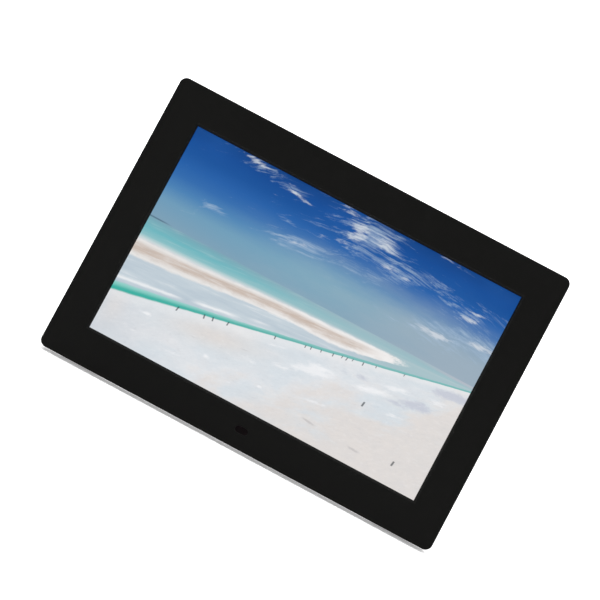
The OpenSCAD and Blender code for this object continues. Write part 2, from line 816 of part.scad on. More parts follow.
// Pressed basket with a shelf for the cone's edge and a tab for the leads
module speaker_frames() {
    y1 = speaker_top_y;
    color([0.55, 0.56, 0.57]) leaned() for (p = speaker_points) {
        turned(p) polygon([
            [12.4, y1 - 0.4], [13.2, y1 - 0.4], [13.2, y1], [speaker_r, y1], [speaker_r, y1 - 1],
            [12.6, y1 - 1], [8.4, y1 - 5.5], [8.4, basket_y], [4.4, basket_y], [4.4, basket_y + 0.6],
            [7.6, basket_y + 0.6], [12.4, y1 - 0.8]
        ]);
        inward = p[0] > 0 ? -1 : 1;
        plate(p[0] + inward * 9.9, p[1], 5, 6, basket_y, basket_y + 0.6);
    }
}

// Cone with its dust cap, its half-roll surround and the voice coil's former
module speaker_cones() {
    y1 = speaker_top_y;
    color([0.15, 0.15, 0.15]) leaned() for (p = speaker_points) turned(p) {
        polygon([
            [0, y1 - 2.2], [2.4, y1 - 2.6], [4.1, y1 - 3.8], [10, y1 - 1.2], [11.2, y1 - 0.5],
            [12, y1 - 0.4], [13.15, y1 - 0.4], [13.15, y1], [11.1, y1], [9.8, y1 - 0.7],
            [4.3, y1 - 3.2], [2.4, y1 - 2.1], [0, y1 - 1.7]
        ]);
        polygon([[3.8, basket_y + 0.1], [4.1, basket_y + 0.1], [4.1, y1 - 3.6], [3.8, y1 - 3.4]]);
    }
}

module speaker_magnets() {
    color([0.3, 0.3, 0.31]) leaned() for (p = speaker_points) {
        rod(p[0], p[1], 8, basket_y - 4, basket_y);
        rod(p[0], p[1], 6, basket_y - 4.8, basket_y - 4 + tiny);
    }
}

module speaker_seals() {
    color([0.2, 0.2, 0.2]) leaned() for (p = speaker_points) difference() {
        rod(p[0], p[1], speaker_r, speaker_top_y, hump_inner_y);
        rod(p[0], p[1], 12.4, speaker_top_y - 1, hump_inner_y + 1);
    }
}

module speaker_leads() {
    color([0.7, 0.1, 0.1]) leaned() {
        wire(left_lead, wire_r);
        wire(right_lead, wire_r);
    }
}

// ---------------------------------------------------------------- stand

// Pressed steel plate with two ears that hold the pin
module stand_bracket() {
    y0 = channel_floor_y;
    ear_r = 3;
    low_z = hinge_z - 4.5;
    color([0.66, 0.66, 0.68]) leaned() difference() {
        union() {
            block(-ear_x - ear_t, ear_x + ear_t, y0, y0 + plate_t, low_z, hinge_z + 11.5);
            for (sx = [-1, 1]) {
                x0 = sx > 0 ? ear_x : -ear_x - ear_t;
                block(x0, x0 + ear_t, y0, pin_y, hinge_z - ear_r, hinge_z + ear_r);
                rod_x(pin_y, hinge_z, ear_r, x0, x0 + ear_t);
            }
        }
        rod_x(pin_y, hinge_z, pin_r, -ear_x - 2, ear_x + 2);
        for (p = bracket_points) rod(p[0], p[1], inner_shank_r + 0.1, y0 - 1, y0 + plate_t + 1);
    }
}

module bracket_screws() {
    color([0.75, 0.75, 0.77]) leaned() for (p = bracket_points)
        screw(p[0], p[1], channel_floor_y + plate_t, inner_shank_r, inner_head_r, inner_head_t, 3.4);
}

// Pin with a riveted head at each end, fixed in the bracket's ears
module stand_pin() {
    end_x = ear_x + ear_t;
    color([0.8, 0.8, 0.82]) leaned() {
        rod_x(pin_y, hinge_z, pin_r, -end_x - tiny, end_x + tiny);
        for (x0 = [-end_x - 0.6, end_x]) rod_x(pin_y, hinge_z, 2.2, x0, x0 + 0.6);
    }
}

module friction_washers() {
    color([0.85, 0.8, 0.6]) leaned() for (sx = [-1, 1]) difference() {
        x0 = sx > 0 ? ear_x - washer_t - washer_gap : -ear_x + washer_gap;
        rod_x(pin_y, hinge_z, 2.6, x0, x0 + washer_t);
        rod_x(pin_y, hinge_z, pin_r + 0.03, x0 - 1, x0 + washer_t + 1);
    }
}

// The leg's outline in its folded position, about the pin, with x across and z along it
module leg_outline(len) {
    neck_w = barrel_w;
    tip_w = leg_w - 6;
    shoulder = 7;
    polygon([
        [-neck_w / 2, 0], [-neck_w / 2, -shoulder + 2], [-leg_w / 2, -shoulder - 1],
        [-leg_w / 2, -shoulder - 10], [-tip_w / 2, -len], [tip_w / 2, -len],
        [leg_w / 2, -shoulder - 10], [leg_w / 2, -shoulder - 1], [neck_w / 2, -shoulder + 2],
        [neck_w / 2, 0]
    ]);
}

// Heel that meets the bracket's plate and stops the leg when it is open
heel_front = 1;
heel_rise = (pin_y - channel_floor_y - plate_t - 0.04 - heel_front * cos(leg_angle)) / sin(leg_angle);

module stand_leg() {
    y0 = -leg_t / 2;
    rib = 1.6;
    pocket = 3;
    grip_pitch = 2.4;
    grip_t = 0.4;
    color([0.1, 0.1, 0.095]) leaned() opened() difference() {
        union() {
            rod_x(0, 0, barrel_r, -barrel_w / 2, barrel_w / 2);
            block(-barrel_w / 2, barrel_w / 2, -heel_front, barrel_r, 0, heel_rise);
            intersection() {
                prism(y0, y0 + leg_t) leg_outline(leg_body_len);
                // relief so that the neck clears the plate
                union() {
                    block(-leg_w, leg_w, y0, y0 + leg_t, -leg_body_len, -3.2);
                    block(-leg_w, leg_w, -1.6, y0 + leg_t, -3.3, 1);
                }
            }
            tenon(0);
            // ridges for a fingertip, near the free end
            for (i = [0 : 4])
                plate(0, 8 - leg_body_len + i * grip_pitch, 14, 1, y0 + leg_t - 1, y0 + leg_t + grip_t);
        }
        rod_x(0, 0, pin_r + 0.05, -leg_w, leg_w);
        // pocket on the side that faces the device, divided by ribs
        for (i = [0 : 3], sx = [-1, 1]) {
            top = -18 - i * 22;
            x0 = sx > 0 ? rib / 2 : -rib / 2 - 10;
            block(x0, x0 + 10, y0 - 1, y0 + pocket, top - 22 + rib, top);
        }
    }
}

// Tongue on the leg's end that the rubber pad is pushed onto
module tenon(gap) {
    plate(0, -leg_body_len - 1.5, 16 + 2 * gap, 3 + 2 * gap + tiny, -1 - gap, 1 + gap);
}

// Rubber end of the leg, cut to lie flat on the floor when the leg is open
module stand_foot_pad() {
    touch_y = pin_y + leg_len * sin(leg_angle);
    color([0.16, 0.16, 0.16]) leaned() difference() {
        opened() difference() {
            plate(0, -leg_len, leg_w - 6, 2 * leg_pad_len, -leg_t / 2, leg_t / 2);
            tenon(0.03);
        }
        // everything below the floor
        translate([0, touch_y, floor_at(touch_y)]) rotate([lean, 0, 0])
            translate([-50, -50, -40]) cube([100, 100, 40]);
    }
}

// ---------------------------------------------------------------- buttons

// Generic marks on the caps, drawn in X and Z about the cap's centre
module icon(i) {
    name = button_names[i];
    if (name == "left") circle(r = 1.3, $fn = 3);
    if (name == "right") rotate(180) circle(r = 1.3, $fn = 3);
    if (name == "up") rotate(90) circle(r = 1.3, $fn = 3);
    if (name == "down") rotate(-90) circle(r = 1.3, $fn = 3);
    if (name == "menu") for (dz = [-1, 0, 1]) translate([0, dz]) square([3.2, 0.4], center = true);
    if (name == "exit") for (a = [45, -45]) rotate(a) square([3, 0.45], center = true);
    if (name == "power") {
        difference() {
            circle(r = 1.5);
            circle(r = 1.05);
            translate([0, 1.2]) square([1, 1.4], center = true);
        }
        translate([0, 1]) square([0.4, 1.6], center = true);
    }
}

module button(i) {
    x = button_x(i);
    top = rim_depth + button_proud;
    color([0.13, 0.13, 0.13]) leaned() {
        rounded_plate(x, button_z, button_w, button_h, button_r, flange_y, top);
        rounded_plate(x, button_z, button_w + 2, button_h + 1.6, 1, flange_y, flange_y + flange_t);
        translate([x, 0, button_z]) prism(top - tiny, top + icon_t) icon(i);
    }
}

module stem(i) {
    color([0.8, 0.78, 0.7]) leaned()
        rod(button_x(i), button_z, stem_r, switch_y + switch_floor + button_travel + 0.05, flange_y);
}

// ---------------------------------------------------------------- assembly

front_bezel();
ir_window();
screen_gasket();
lcd_glass();
diffuser_films();
light_guide();
reflector_sheet();
lcd_mid_frame();
lcd_back_plate();
led_strip();
backlight_leds();
display_flex();
panel_clamps();
rear_cover();
housing_screws();
inner_screws();
rubber_feet();
main_board();
processor();
memory_chips();
board_capacitors();
power_inductor();
crystal();
board_connectors();
card_socket();
usb_socket();
mini_usb_socket();
headphone_socket();
power_socket();
key_board();
key_cable();
switch_bases();
ir_board();
ir_receiver();
ir_cable();
speaker_frames();
speaker_cones();
speaker_magnets();
speaker_seals();
speaker_leads();
stand_bracket();
bracket_screws();
stand_pin();
friction_washers();
stand_leg();
stand_foot_pad();
for (i = [0 : len(button_names) - 1]) {
    button(i);
    stem(i);
}
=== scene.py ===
"""Looks of the digital photo frame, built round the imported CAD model.

Everything is in metres, in the CAD model's own frame. The CAD nodes keep their places and meshes. They get
rounded edges from modifiers, and procedural materials. Cloth behind the loudspeaker grilles and small parts
on the main board are added.
"""
import json
import math

import bpy
from mathutils import Matrix, Vector


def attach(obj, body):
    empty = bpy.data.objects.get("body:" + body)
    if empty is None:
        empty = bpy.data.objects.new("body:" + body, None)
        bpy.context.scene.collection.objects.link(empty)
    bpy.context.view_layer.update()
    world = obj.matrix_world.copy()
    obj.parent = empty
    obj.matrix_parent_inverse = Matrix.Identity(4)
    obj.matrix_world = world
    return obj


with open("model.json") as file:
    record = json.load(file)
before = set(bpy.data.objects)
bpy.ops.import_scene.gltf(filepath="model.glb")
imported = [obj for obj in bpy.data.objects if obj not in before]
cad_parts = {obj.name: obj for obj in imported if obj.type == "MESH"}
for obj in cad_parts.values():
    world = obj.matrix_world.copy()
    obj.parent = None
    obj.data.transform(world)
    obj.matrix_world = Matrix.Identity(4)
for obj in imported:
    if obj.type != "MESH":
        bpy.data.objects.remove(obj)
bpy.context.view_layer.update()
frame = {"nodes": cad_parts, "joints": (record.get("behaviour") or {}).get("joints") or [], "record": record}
nodes = frame["nodes"]
scene = bpy.context.scene

MM = 0.001

# ---------------- the device's own upright frame

# A button slides straight into the back, so its axis gives the lean of the whole device.
press = next(j for j in frame["joints"] if j["name"] == "power_press")
OUT = Vector(press["axis"]).normalized()
RIGHT = Vector((1, 0, 0))
UP = OUT.cross(RIGHT).normalized()
DEVICE = Matrix((RIGHT, UP, OUT)).transposed()


def device_box(name):
    """Lowest and highest corner of a CAD node along RIGHT, UP and OUT."""
    turned = [DEVICE.transposed() @ v.co for v in nodes[name].data.vertices]
    low = Vector([min(p[i] for p in turned) for i in range(3)])
    high = Vector([max(p[i] for p in turned) for i in range(3)])
    return low, high


def at(right, up, out):
    """A point given along RIGHT, UP and OUT, in the CAD model's frame."""
    return DEVICE @ Vector((right, up, out))


bezel_low, bezel_high = device_box("front_bezel")
BOTTOM = bezel_low.y
FRONT = bezel_high.z
MIDDLE = (bezel_low + bezel_high) / 2
GLASS_FRONT = device_box("lcd_glass")[1].z

# the lit part of the 10.1 inch display
ACTIVE_W = 216.96 * MM
ACTIVE_H = 135.6 * MM

# ---------------- camera

CAMERA_DISTANCE = 1.5
VIEW_WIDTH = 0.354087  # how wide a stretch the picture takes in at that distance
PITCH, YAW, ROLL = [math.radians(a) for a in (-3.4, -3.1, -28.2)]
SHIFT = Vector((3.0 * MM, -7.0 * MM, -CAMERA_DISTANCE))  # the front's middle as the camera sees it


def add_camera():
    """Looks nearly square at the screen, rolled so that the device stands on a slant in the picture."""
    turn = Matrix.Rotation(ROLL, 3, "Z") @ Matrix.Rotation(PITCH, 3, "X") @ Matrix.Rotation(YAW, 3, "Y")
    face = at(0, MIDDLE.y, FRONT)
    data = bpy.data.cameras.new("camera")
    data.sensor_width = 36
    data.lens = CAMERA_DISTANCE / VIEW_WIDTH * data.sensor_width
    data.clip_start = 0.05
    data.clip_end = 50
    camera = bpy.data.objects.new("camera", data)
    scene.collection.objects.link(camera)
    place = DEVICE @ turn.transposed()
    camera.matrix_world = Matrix.Translation(face - place @ SHIFT) @ place.to_4x4()
    scene.camera = camera


# ---------------- small language for shader nodes


class Signal:
    """A number that varies over the surface, with ordinary arithmetic."""

    def __init__(self, graph, socket):
        self.graph = graph
        self.socket = socket

    def __add__(self, other):
        return self.graph.math("ADD", self, other)

    def __sub__(self, other):
        return self.graph.math("SUBTRACT", self, other)

    def __mul__(self, other):
        return self.graph.math("MULTIPLY", self, other)

    def __truediv__(self, other):
        return self.graph.math("DIVIDE", self, other)

    def __rsub__(self, other):
        return self.graph.math("SUBTRACT", other, self)

    __radd__ = __add__
    __rmul__ = __mul__


class Graph:
    """Builds the shader nodes of one material."""

    def __init__(self, name):
        """An empty material with one shader, which the other methods feed."""
        self.material = bpy.data.materials.new(name)
        self.material.use_nodes = True
        self.tree = self.material.node_tree
        self.tree.nodes.clear()
        self.shader = self.tree.nodes.new("ShaderNodeBsdfPrincipled")
        output = self.tree.nodes.new("ShaderNodeOutputMaterial")
        self.link(self.shader.outputs[0], output.inputs["Surface"])

    def node(self, kind, **settings):
        """A new shader node with some of its settings changed."""
        made = self.tree.nodes.new(kind)
        for key, value in settings.items():
            setattr(made, key, value)
        return made

    def link(self, output, socket):
        """Joins one node's output to another's socket."""
        self.tree.links.new(output, socket)

    def feed(self, value, socket):
        """Links a signal to the socket, or sets a plain value on it."""
        if isinstance(value, Signal):
            self.link(value.socket, socket)
        else:
            socket.default_value = value

    def math(self, operation, *values):
        """One step of arithmetic on numbers or signals."""
        made = self.node("ShaderNodeMath", operation=operation)
        for value, socket in zip(values, made.inputs):
            self.feed(value, socket)
        return Signal(self, made.outputs[0])

    def vector(self, x, y, z=0.0):
        """Three numbers or signals as one place."""
        made = self.node("ShaderNodeCombineXYZ")
        for value, socket in zip((x, y, z), made.inputs):
            self.feed(value, socket)
        return made.outputs[0]

    def link_place(self, place, made):
        """Lays a texture out by the given place, or else by the place on the piece, in metres."""
        if place is None:
            place = self.node("ShaderNodeTexCoord").outputs["Object"]
        self.link(place, made.inputs["Vector"])

    def position(self):
        """Right, up and out on the device, in metres, as three signals."""
        turn = self.node("ShaderNodeVectorRotate", rotation_type="EULER_XYZ", invert=True)
        turn.inputs["Rotation"].default_value = DEVICE.to_euler()
        self.link_place(None, turn)
        parts = self.node("ShaderNodeSeparateXYZ")
        self.link(turn.outputs[0], parts.inputs[0])
        return [Signal(self, parts.outputs[i]) for i in range(3)]

    def noise(self, scale, detail=2.0, roughness=0.5, distortion=0.0, place=None):
        """Cloudy noise from 0 to 1, about 0.5 on average."""
        made = self.node("ShaderNodeTexNoise")
        made.inputs["Scale"].default_value = scale
        made.inputs["Detail"].default_value = detail
        made.inputs["Roughness"].default_value = roughness
        made.inputs["Distortion"].default_value = distortion
        self.link_place(place, made)
        return Signal(self, made.outputs["Fac"])

    def cells(self, scale, place=None, randomness=1.0):
        """Distance from the nearest of many scattered points, counted in cells."""
        made = self.node("ShaderNodeTexVoronoi")
        made.inputs["Scale"].default_value = scale
        made.inputs["Randomness"].default_value = randomness
        self.link_place(place, made)
        return Signal(self, made.outputs["Distance"])

    def smooth(self, value, low, high):
        """Goes smoothly from 0 to 1 as value goes from low to high."""
        made = self.node("ShaderNodeMapRange", interpolation_type="SMOOTHSTEP")
        for item, name in ((value, "Value"), (low, "From Min"), (high, "From Max")):
            self.feed(item, made.inputs[name])
        return Signal(self, made.outputs[0])

    def curve(self, value, points):
        """A smooth curve through a few points, each across and up from 0 to 1."""
        made = self.node("ShaderNodeFloatCurve")
        line = made.mapping.curves[0].points
        line[0].location, line[1].location = points[0], points[-1]
        for point in points[1:-1]:
            line.new(*point)
        made.mapping.update()
        self.feed(value, made.inputs["Value"])
        return Signal(self, made.outputs[0])

    def within(self, value, low, high):
        """1 where the value lies from low to high, otherwise 0."""
        return self.math("COMPARE", value, (low + high) / 2, (high - low) / 2)

    def greatest(self, signals):
        """The strongest of several signals."""
        total = signals[0]
        for signal in signals[1:]:
            total = self.math("MAXIMUM", total, signal)
        return total

    def ramp(self, value, stops):
        """Colours that blend into each other, each with its place from 0 to 1."""
        made = self.node("ShaderNodeValToRGB")
        self.feed(value, made.inputs[0])
        elements = made.color_ramp.elements
        while len(elements) < len(stops):
            elements.new(1.0)
        for element, (place, colour) in zip(elements, stops):
            element.position = place
            element.color = colour
        return Signal(self, made.outputs[0])

    def mix(self, share, a, b):
        """The colour a where share is 0, and b where it is 1."""
        made = self.node("ShaderNodeMix", data_type="RGBA")
        self.feed(share, made.inputs[0])
        self.feed(a, made.inputs[6])
        self.feed(b, made.inputs[7])
        return Signal(self, made.outputs[2])

    def edge(self, radius):
        """1 on sharp edges, within the radius of them, and 0 on flat ground."""
        bevel = self.node("ShaderNodeBevel", samples=4)
        bevel.inputs["Radius"].default_value = radius
        geometry = self.node("ShaderNodeNewGeometry")
        dot = self.node("ShaderNodeVectorMath", operation="DOT_PRODUCT")
        self.link(bevel.outputs[0], dot.inputs[0])
        self.link(geometry.outputs["Normal"], dot.inputs[1])
        return self.smooth(Signal(self, dot.outputs["Value"]), 0.995, 0.85)

    def bump(self, height, distance):
        """Raises the surface by the distance where height is 1."""
        made = self.node("ShaderNodeBump")
        made.inputs["Strength"].default_value = 1.0
        made.inputs["Distance"].default_value = distance
        self.feed(height, made.inputs["Height"])
        self.link(made.outputs[0], self.shader.inputs["Normal"])

    def set(self, **values):
        """Feeds the shader's sockets; an underscore stands for a space."""
        for name, value in values.items():
            self.feed(value, self.shader.inputs[name.replace("_", " ")])


def srgb(red, green, blue):
    """A colour given as 0 to 255, as the shader's linear values."""

    def linear(value):
        value /= 255
        return value / 12.92 if value <= 0.04045 else ((value + 0.055) / 1.055) ** 2.4

    return (linear(red), linear(green), linear(blue), 1.0)


def scaled(colour, factor, lift=0.0):
    """The colour made darker or lighter."""
    return [c * factor + lift for c in colour[:3]] + [1.0]


# ---------------- materials


def plastic(name, colour, edge_wear_highlight_colour, roughness, grain_scale=1700.0, grain_depth=0.035, specular=0.35):
    """Moulded plastic with a fine spark-eroded grain, faint cloudiness, and lighter edges: slightly worn,
    and a painted highlight.
    """
    g = Graph(name)
    finish_plastic(g, colour, edge_wear_highlight_colour, roughness, grain_scale, grain_depth, specular)
    return g.material


def finish_plastic(g, colour, edge_wear_highlight_colour, roughness, grain_scale, grain_depth, specular):
    """Feeds the shader of g, and returns the colour and roughness for anything printed on it."""
    grain = g.noise(grain_scale, detail=5, roughness=0.72)
    pits = g.smooth(g.cells(grain_scale * 1.6), 0.10, 0.45)
    cloud = g.noise(14, detail=4, roughness=0.6)
    handled = g.smooth(g.noise(55, detail=5, roughness=0.65), 0.50, 0.72)
    # sharp edges in patches: partly wear, partly a painted edge highlight
    wear_and_highlight = g.edge(0.5 * MM) * g.smooth(g.noise(260, detail=4, roughness=0.65), 0.42, 0.62)
    body = g.mix(cloud, scaled(colour, 0.86), scaled(colour, 1.14))
    body = g.mix(g.smooth(grain, 0.35, 0.75) * 0.35, body, scaled(colour, 1.6))
    # the edges lightened: wear, and a painted edge highlight
    body = g.mix(wear_and_highlight * 0.5, body, edge_wear_highlight_colour)
    rough = roughness + 0.12 * (grain - 0.5) + 0.08 * (cloud - 0.5) - 0.05 * handled - 0.12 * wear_and_highlight
    g.set(Base_Color=body, Roughness=rough, Specular_IOR_Level=specular)
    g.bump(grain * 0.8 + pits * 0.4, grain_depth * MM)
    return body, rough


def button_plastic():
    """Satin caps whose raised marks are printed pale grey, a little rubbed."""
    g = Graph("button_plastic")
    body, rough = finish_plastic(g, srgb(30, 30, 30), srgb(80, 80, 78), 0.42, 2400.0, 0.02, 0.4)
    mark_top = device_box("button_power")[0].z
    mark = g.math("LESS_THAN", g.position()[2], mark_top + 0.1 * MM)
    rubbed = g.smooth(g.noise(1500, detail=4, roughness=0.7), 0.30, 0.48)
    mark = mark * (0.35 + 0.65 * rubbed)
    g.set(Base_Color=g.mix(mark, body, srgb(188, 190, 192)), Roughness=rough + 0.12 * mark)
    return g.material


TONGUE_RECESS = 1.3 * MM  # how far a socket's tongue ends inside its mouth
CONTACT_RECESS = 1.9 * MM
MASK_SLACK = 0.1 * MM
CARD_LINING = 0.45 * MM
CARD_CONTACT_PITCH = 2.5 * MM
CARD_CONTACT_SHARE = 0.45  # of the pitch
CARD_CONTACT_REACH = 10.5 * MM  # each way from the slot's middle


def tongue_socket(name, depth, thickness, half_width, pins, pin_width):
    """Stamped shell round a black tongue with gold contacts, depth mm in front of the shell's back."""
    g = Graph(name)
    low, high = device_box(name)
    x, y, z = g.position()
    middle = (low.y + high.y) / 2
    reach = half_width * MM + MASK_SLACK
    back = low.z + depth * MM
    tongue = g.within(y, middle - reach, middle + reach)
    tongue = tongue * g.within(z, back - MASK_SLACK, back + thickness * MM + MASK_SLACK)
    tongue = tongue * g.math("LESS_THAN", x, high.x - TONGUE_RECESS)
    half_pin = pin_width / 2 * MM
    stripes = [g.within(y, middle + pin * MM - half_pin, middle + pin * MM + half_pin) for pin in pins]
    gold = g.greatest(stripes) * tongue * g.math("LESS_THAN", x, high.x - CONTACT_RECESS)
    shades = [
        srgb(206, 206, 208), srgb(18, 18, 19), srgb(34, 34, 36), srgb(212, 168, 82), srgb(240, 205, 128),
    ]
    finish_socket(g, (x, y, z), shades, 0.24, 0.22, tongue, gold)
    return g.material


def finish_socket(g, place, shades, roughness, dull, moulding, gold):
    """Tin-plated shell, with duller black plastic where moulding is 1 and gold where gold is 1 too."""
    shell, black, scuffed, gilt, bright_gilt = shades
    x, y, z = place
    lines = g.noise(1, detail=4, roughness=0.7, place=g.vector(x * 60, y * 2400, z * 2400))
    patch = g.noise(120, detail=4, roughness=0.6)
    scuff = g.noise(1600, detail=4, roughness=0.7)
    colour = g.mix(patch, scaled(shell, 0.78), shell)
    colour = g.mix(moulding, colour, g.mix(scuff, black, scuffed))
    colour = g.mix(gold, colour, g.mix(scuff, gilt, bright_gilt))
    sheen = roughness + 0.16 * (lines - 0.5) + 0.14 * (patch - 0.5)
    g.set(
        Base_Color=colour,
        Metallic=1.0 - moulding * (1.0 - gold),
        Roughness=sheen + moulding * (dull - gold * (dull - 0.02)),
    )
    g.bump(lines + gold * 0.5, 0.01 * MM)


def card_slot():
    """Stamped shell with a black lining along its front wall and end, and a row of gold contacts."""
    g = Graph("card_socket")
    low, high = device_box("card_socket")
    x, y, z = g.position()
    middle = (low.y + high.y) / 2
    lining = g.within(z, high.z - CARD_LINING, high.z - 0.15 * MM)
    lining = g.math("MAXIMUM", lining, g.math("LESS_THAN", x, low.x + CARD_LINING))
    stripe = g.math("LESS_THAN", g.math("FRACT", (y - low.y) / CARD_CONTACT_PITCH), CARD_CONTACT_SHARE)
    stripe = stripe * g.within(y, middle - CARD_CONTACT_REACH, middle + CARD_CONTACT_REACH)
    gold = lining * stripe * g.within(x, low.x + 6 * MM, high.x - 9 * MM)
    shades = [
        srgb(200, 200, 202), srgb(14, 14, 15), srgb(30, 30, 32), srgb(206, 160, 76), srgb(236, 200, 122),
    ]
    finish_socket(g, (x, y, z), shades, 0.30, 0.26, lining, gold)
    return g.material


def round_socket(name, metal_radius, axis_depth):
    """Black moulded socket with a metal sleeve or pin about its axis, axis_depth mm behind its front."""
    g = Graph(name)
    body, rough = finish_plastic(g, srgb(22, 22, 23), srgb(56, 56, 56), 0.42, 2200.0, 0.02, 0.4)
    low, high = device_box(name)
    x, y, z = g.position()
    up = y - (low.y + high.y) / 2
    out = z - (high.z - axis_depth * MM)
    metal_part = g.math("LESS_THAN", g.math("SQRT", up * up + out * out), metal_radius * MM)
    rings = g.noise(1, detail=3, roughness=0.6, place=g.vector(x * 3000, y * 60, z * 60))
    colour = g.mix(metal_part, body, g.mix(rings, srgb(196, 194, 186), srgb(226, 222, 210)))
    g.set(Base_Color=colour, Metallic=metal_part, Roughness=rough - metal_part * (0.18 - 0.1 * rings))
    return g.material


def grille_cloth():
    """Open black cloth: threads over and under at right angles."""
    g = Graph("speaker_cloth")
    right, up = g.position()[:2]
    turns = 2 * math.pi / (0.9 * MM)
    warp = g.math("SINE", right * turns)
    weft = g.math("SINE", up * turns)
    thread = g.math("MAXIMUM", g.math("ABSOLUTE", warp), g.math("ABSOLUTE", weft))
    over = g.smooth(warp * weft, -0.3, 0.3)
    fuzz = g.noise(4000, detail=3)
    # threads lighter than the gaps, and darker where they pass under: painted shade in the gaps and under
    # the crossings
    g.set(
        Base_Color=g.mix(
            g.smooth(thread, 0.4, 0.9) * (0.6 + 0.4 * over), srgb(10, 10, 10), srgb(46, 46, 47)
        ),
        Roughness=0.75 + 0.15 * fuzz,
        Specular_IOR_Level=0.2,
        Sheen_Weight=0.2,
    )
    g.bump(thread * 0.7 + over * 0.3 + fuzz * 0.2, 0.08 * MM)
    return g.material


def metal(name, colour, roughness):
    """Rolled or drawn metal with fine lines across the device's depth and dull patches."""
    g = Graph(name)
    x, y, z = g.position()
    lines = g.noise(1, detail=4, roughness=0.7, place=g.vector(x * 60, y * 60, z * 2600))
    patch = g.noise(90, detail=4, roughness=0.6)
    g.set(
        Base_Color=g.mix(patch, scaled(colour, 0.80), colour),
        Metallic=1.0,
        Roughness=roughness + 0.16 * (lines - 0.5) + 0.14 * (patch - 0.5),
    )
    g.bump(lines, 0.004 * MM)
    return g.material


def rubber(name, colour, roughness=0.72, pore_scale=1500.0, pore_depth=0.02):
    """Matt rubber or foam with fine pores and a little dust."""
    g = Graph(name)
    pores = g.cells(pore_scale)
    dust = g.smooth(g.noise(120, detail=5, roughness=0.7), 0.48, 0.75)
    g.set(
        Base_Color=g.mix(dust * 0.35, colour, scaled(colour, 2.2, 0.02)),
        Roughness=roughness + 0.1 * dust,
        Specular_IOR_Level=0.25,
    )
    g.bump(pores, pore_depth * MM)
    return g.material


def film(name, light, dark, roughness, transmission):
    """Thin optical sheet with a faint repeating dot print."""
    g = Graph(name)
    right, up = g.position()[:2]
    dots = g.smooth(g.cells(900, place=g.vector(right, up), randomness=0.15), 0.30, 0.20)
    cloud = g.noise(20, detail=2)
    g.set(
        Base_Color=g.mix(dots * 0.5 + cloud * 0.2, light, dark),
        Roughness=roughness + 0.08 * cloud,
        Transmission_Weight=transmission,
    )
    g.bump(dots, 0.004 * MM)
    return g.material


def laminate(name, mask, copper):
    """Circuit board: solder mask over faint copper tracks, with tinned pads and glass weave."""
    g = Graph(name)
    right, up = g.position()[:2]
    tracks = g.node("ShaderNodeTexBrick")
    tracks.inputs["Scale"].default_value = 120
    tracks.inputs["Mortar Size"].default_value = 0.03
    tracks.inputs["Brick Width"].default_value = 0.9
    tracks.inputs["Row Height"].default_value = 0.12
    wander = g.noise(45, detail=1)
    g.link_place(g.vector(right + wander * 4 * MM, up), tracks)
    zone = g.smooth(g.noise(38, detail=1), 0.45, 0.55)
    track = Signal(g, tracks.outputs["Fac"]) * zone
    pads = g.smooth(g.cells(330, place=g.vector(right, up), randomness=0.4), 0.22, 0.16)
    pads = pads * g.smooth(g.noise(60, detail=1), 0.52, 0.58)
    weave = g.noise(2200, detail=1)
    g.set(
        Base_Color=g.mix(pads, g.mix(track, mask, copper), srgb(200, 200, 196)),
        Metallic=pads * 0.9,
        Roughness=0.32 + 0.1 * weave,
        Coat_Weight=0.3,
    )
    g.bump(track * 0.6 + pads + weave * 0.1, 0.02 * MM)
    return g.material


def ceramic(name, colour, roughness, speck=0.5):
    """Sintered or moulded compound: dense specks and a dull sheen."""
    g = Graph(name)
    fine = g.noise(1900, detail=4, roughness=0.75)
    cloud = g.noise(80, detail=3)
    g.set(
        Base_Color=g.mix(g.smooth(fine, 0.4, 0.7) * speck, colour, scaled(colour, 1.9, 0.01)),
        Roughness=roughness + 0.12 * (cloud - 0.5),
    )
    g.bump(fine, 0.012 * MM)
    return g.material


def led():
    """White LED housings blotched with yellow phosphor."""
    g = Graph("led_package")
    phosphor = g.smooth(g.noise(500, detail=2), 0.35, 0.6)
    g.set(
        Base_Color=g.mix(phosphor * 0.7, srgb(244, 240, 226), srgb(240, 205, 70)),
        Roughness=0.35,
        Subsurface_Weight=0.1,
    )
    g.bump(phosphor, 0.02 * MM)
    return g.material


def cone_paper():
    """Black coated paper with tangled fibres."""
    g = Graph("cone_paper")
    fibres = g.noise(700, detail=5, roughness=0.8, distortion=1.5)
    g.set(
        Base_Color=g.mix(fibres, srgb(20, 20, 21), srgb(52, 51, 50)),
        Roughness=0.62 + 0.2 * (fibres - 0.5),
    )
    g.bump(fibres, 0.05 * MM)
    return g.material


def flat_cable(name, light, dark):
    """Flat cable: conductors 1 mm apart under a clear film."""
    g = Graph(name)
    right = g.position()[0]
    ridge = g.smooth(g.math("SINE", right * (2 * math.pi / MM)), -0.2, 0.5)
    age = g.noise(150, detail=3)
    # lighter on the ridges and darker between them: partly the conductors showing through, partly painted
    # shade in the grooves
    g.set(
        Base_Color=g.mix(ridge * 0.8 + age * 0.2, dark, light),
        Roughness=0.36 + 0.12 * age,
        Coat_Weight=0.4,
    )
    g.bump(ridge, 0.05 * MM)
    return g.material


def infrared_plastic():
    """Polished plastic that lets infrared through and looks almost black, with a trace of red."""
    g = Graph("infrared_plastic")
    swirl = g.noise(140, detail=3)
    g.set(
        Base_Color=g.mix(swirl, srgb(6, 4, 5), srgb(13, 6, 8)),
        Roughness=0.14 + 0.06 * swirl,
        Specular_IOR_Level=0.18,
    )
    g.bump(g.noise(900, detail=2), 0.003 * MM)
    return g.material


# ---------------- the picture on the screen

# Places in the picture run from 0 to 1: u from left to right, v from top to bottom. Each soft spot has its
# place, its spread, how its right end rises, and its weight.

HORIZON = 0.4425

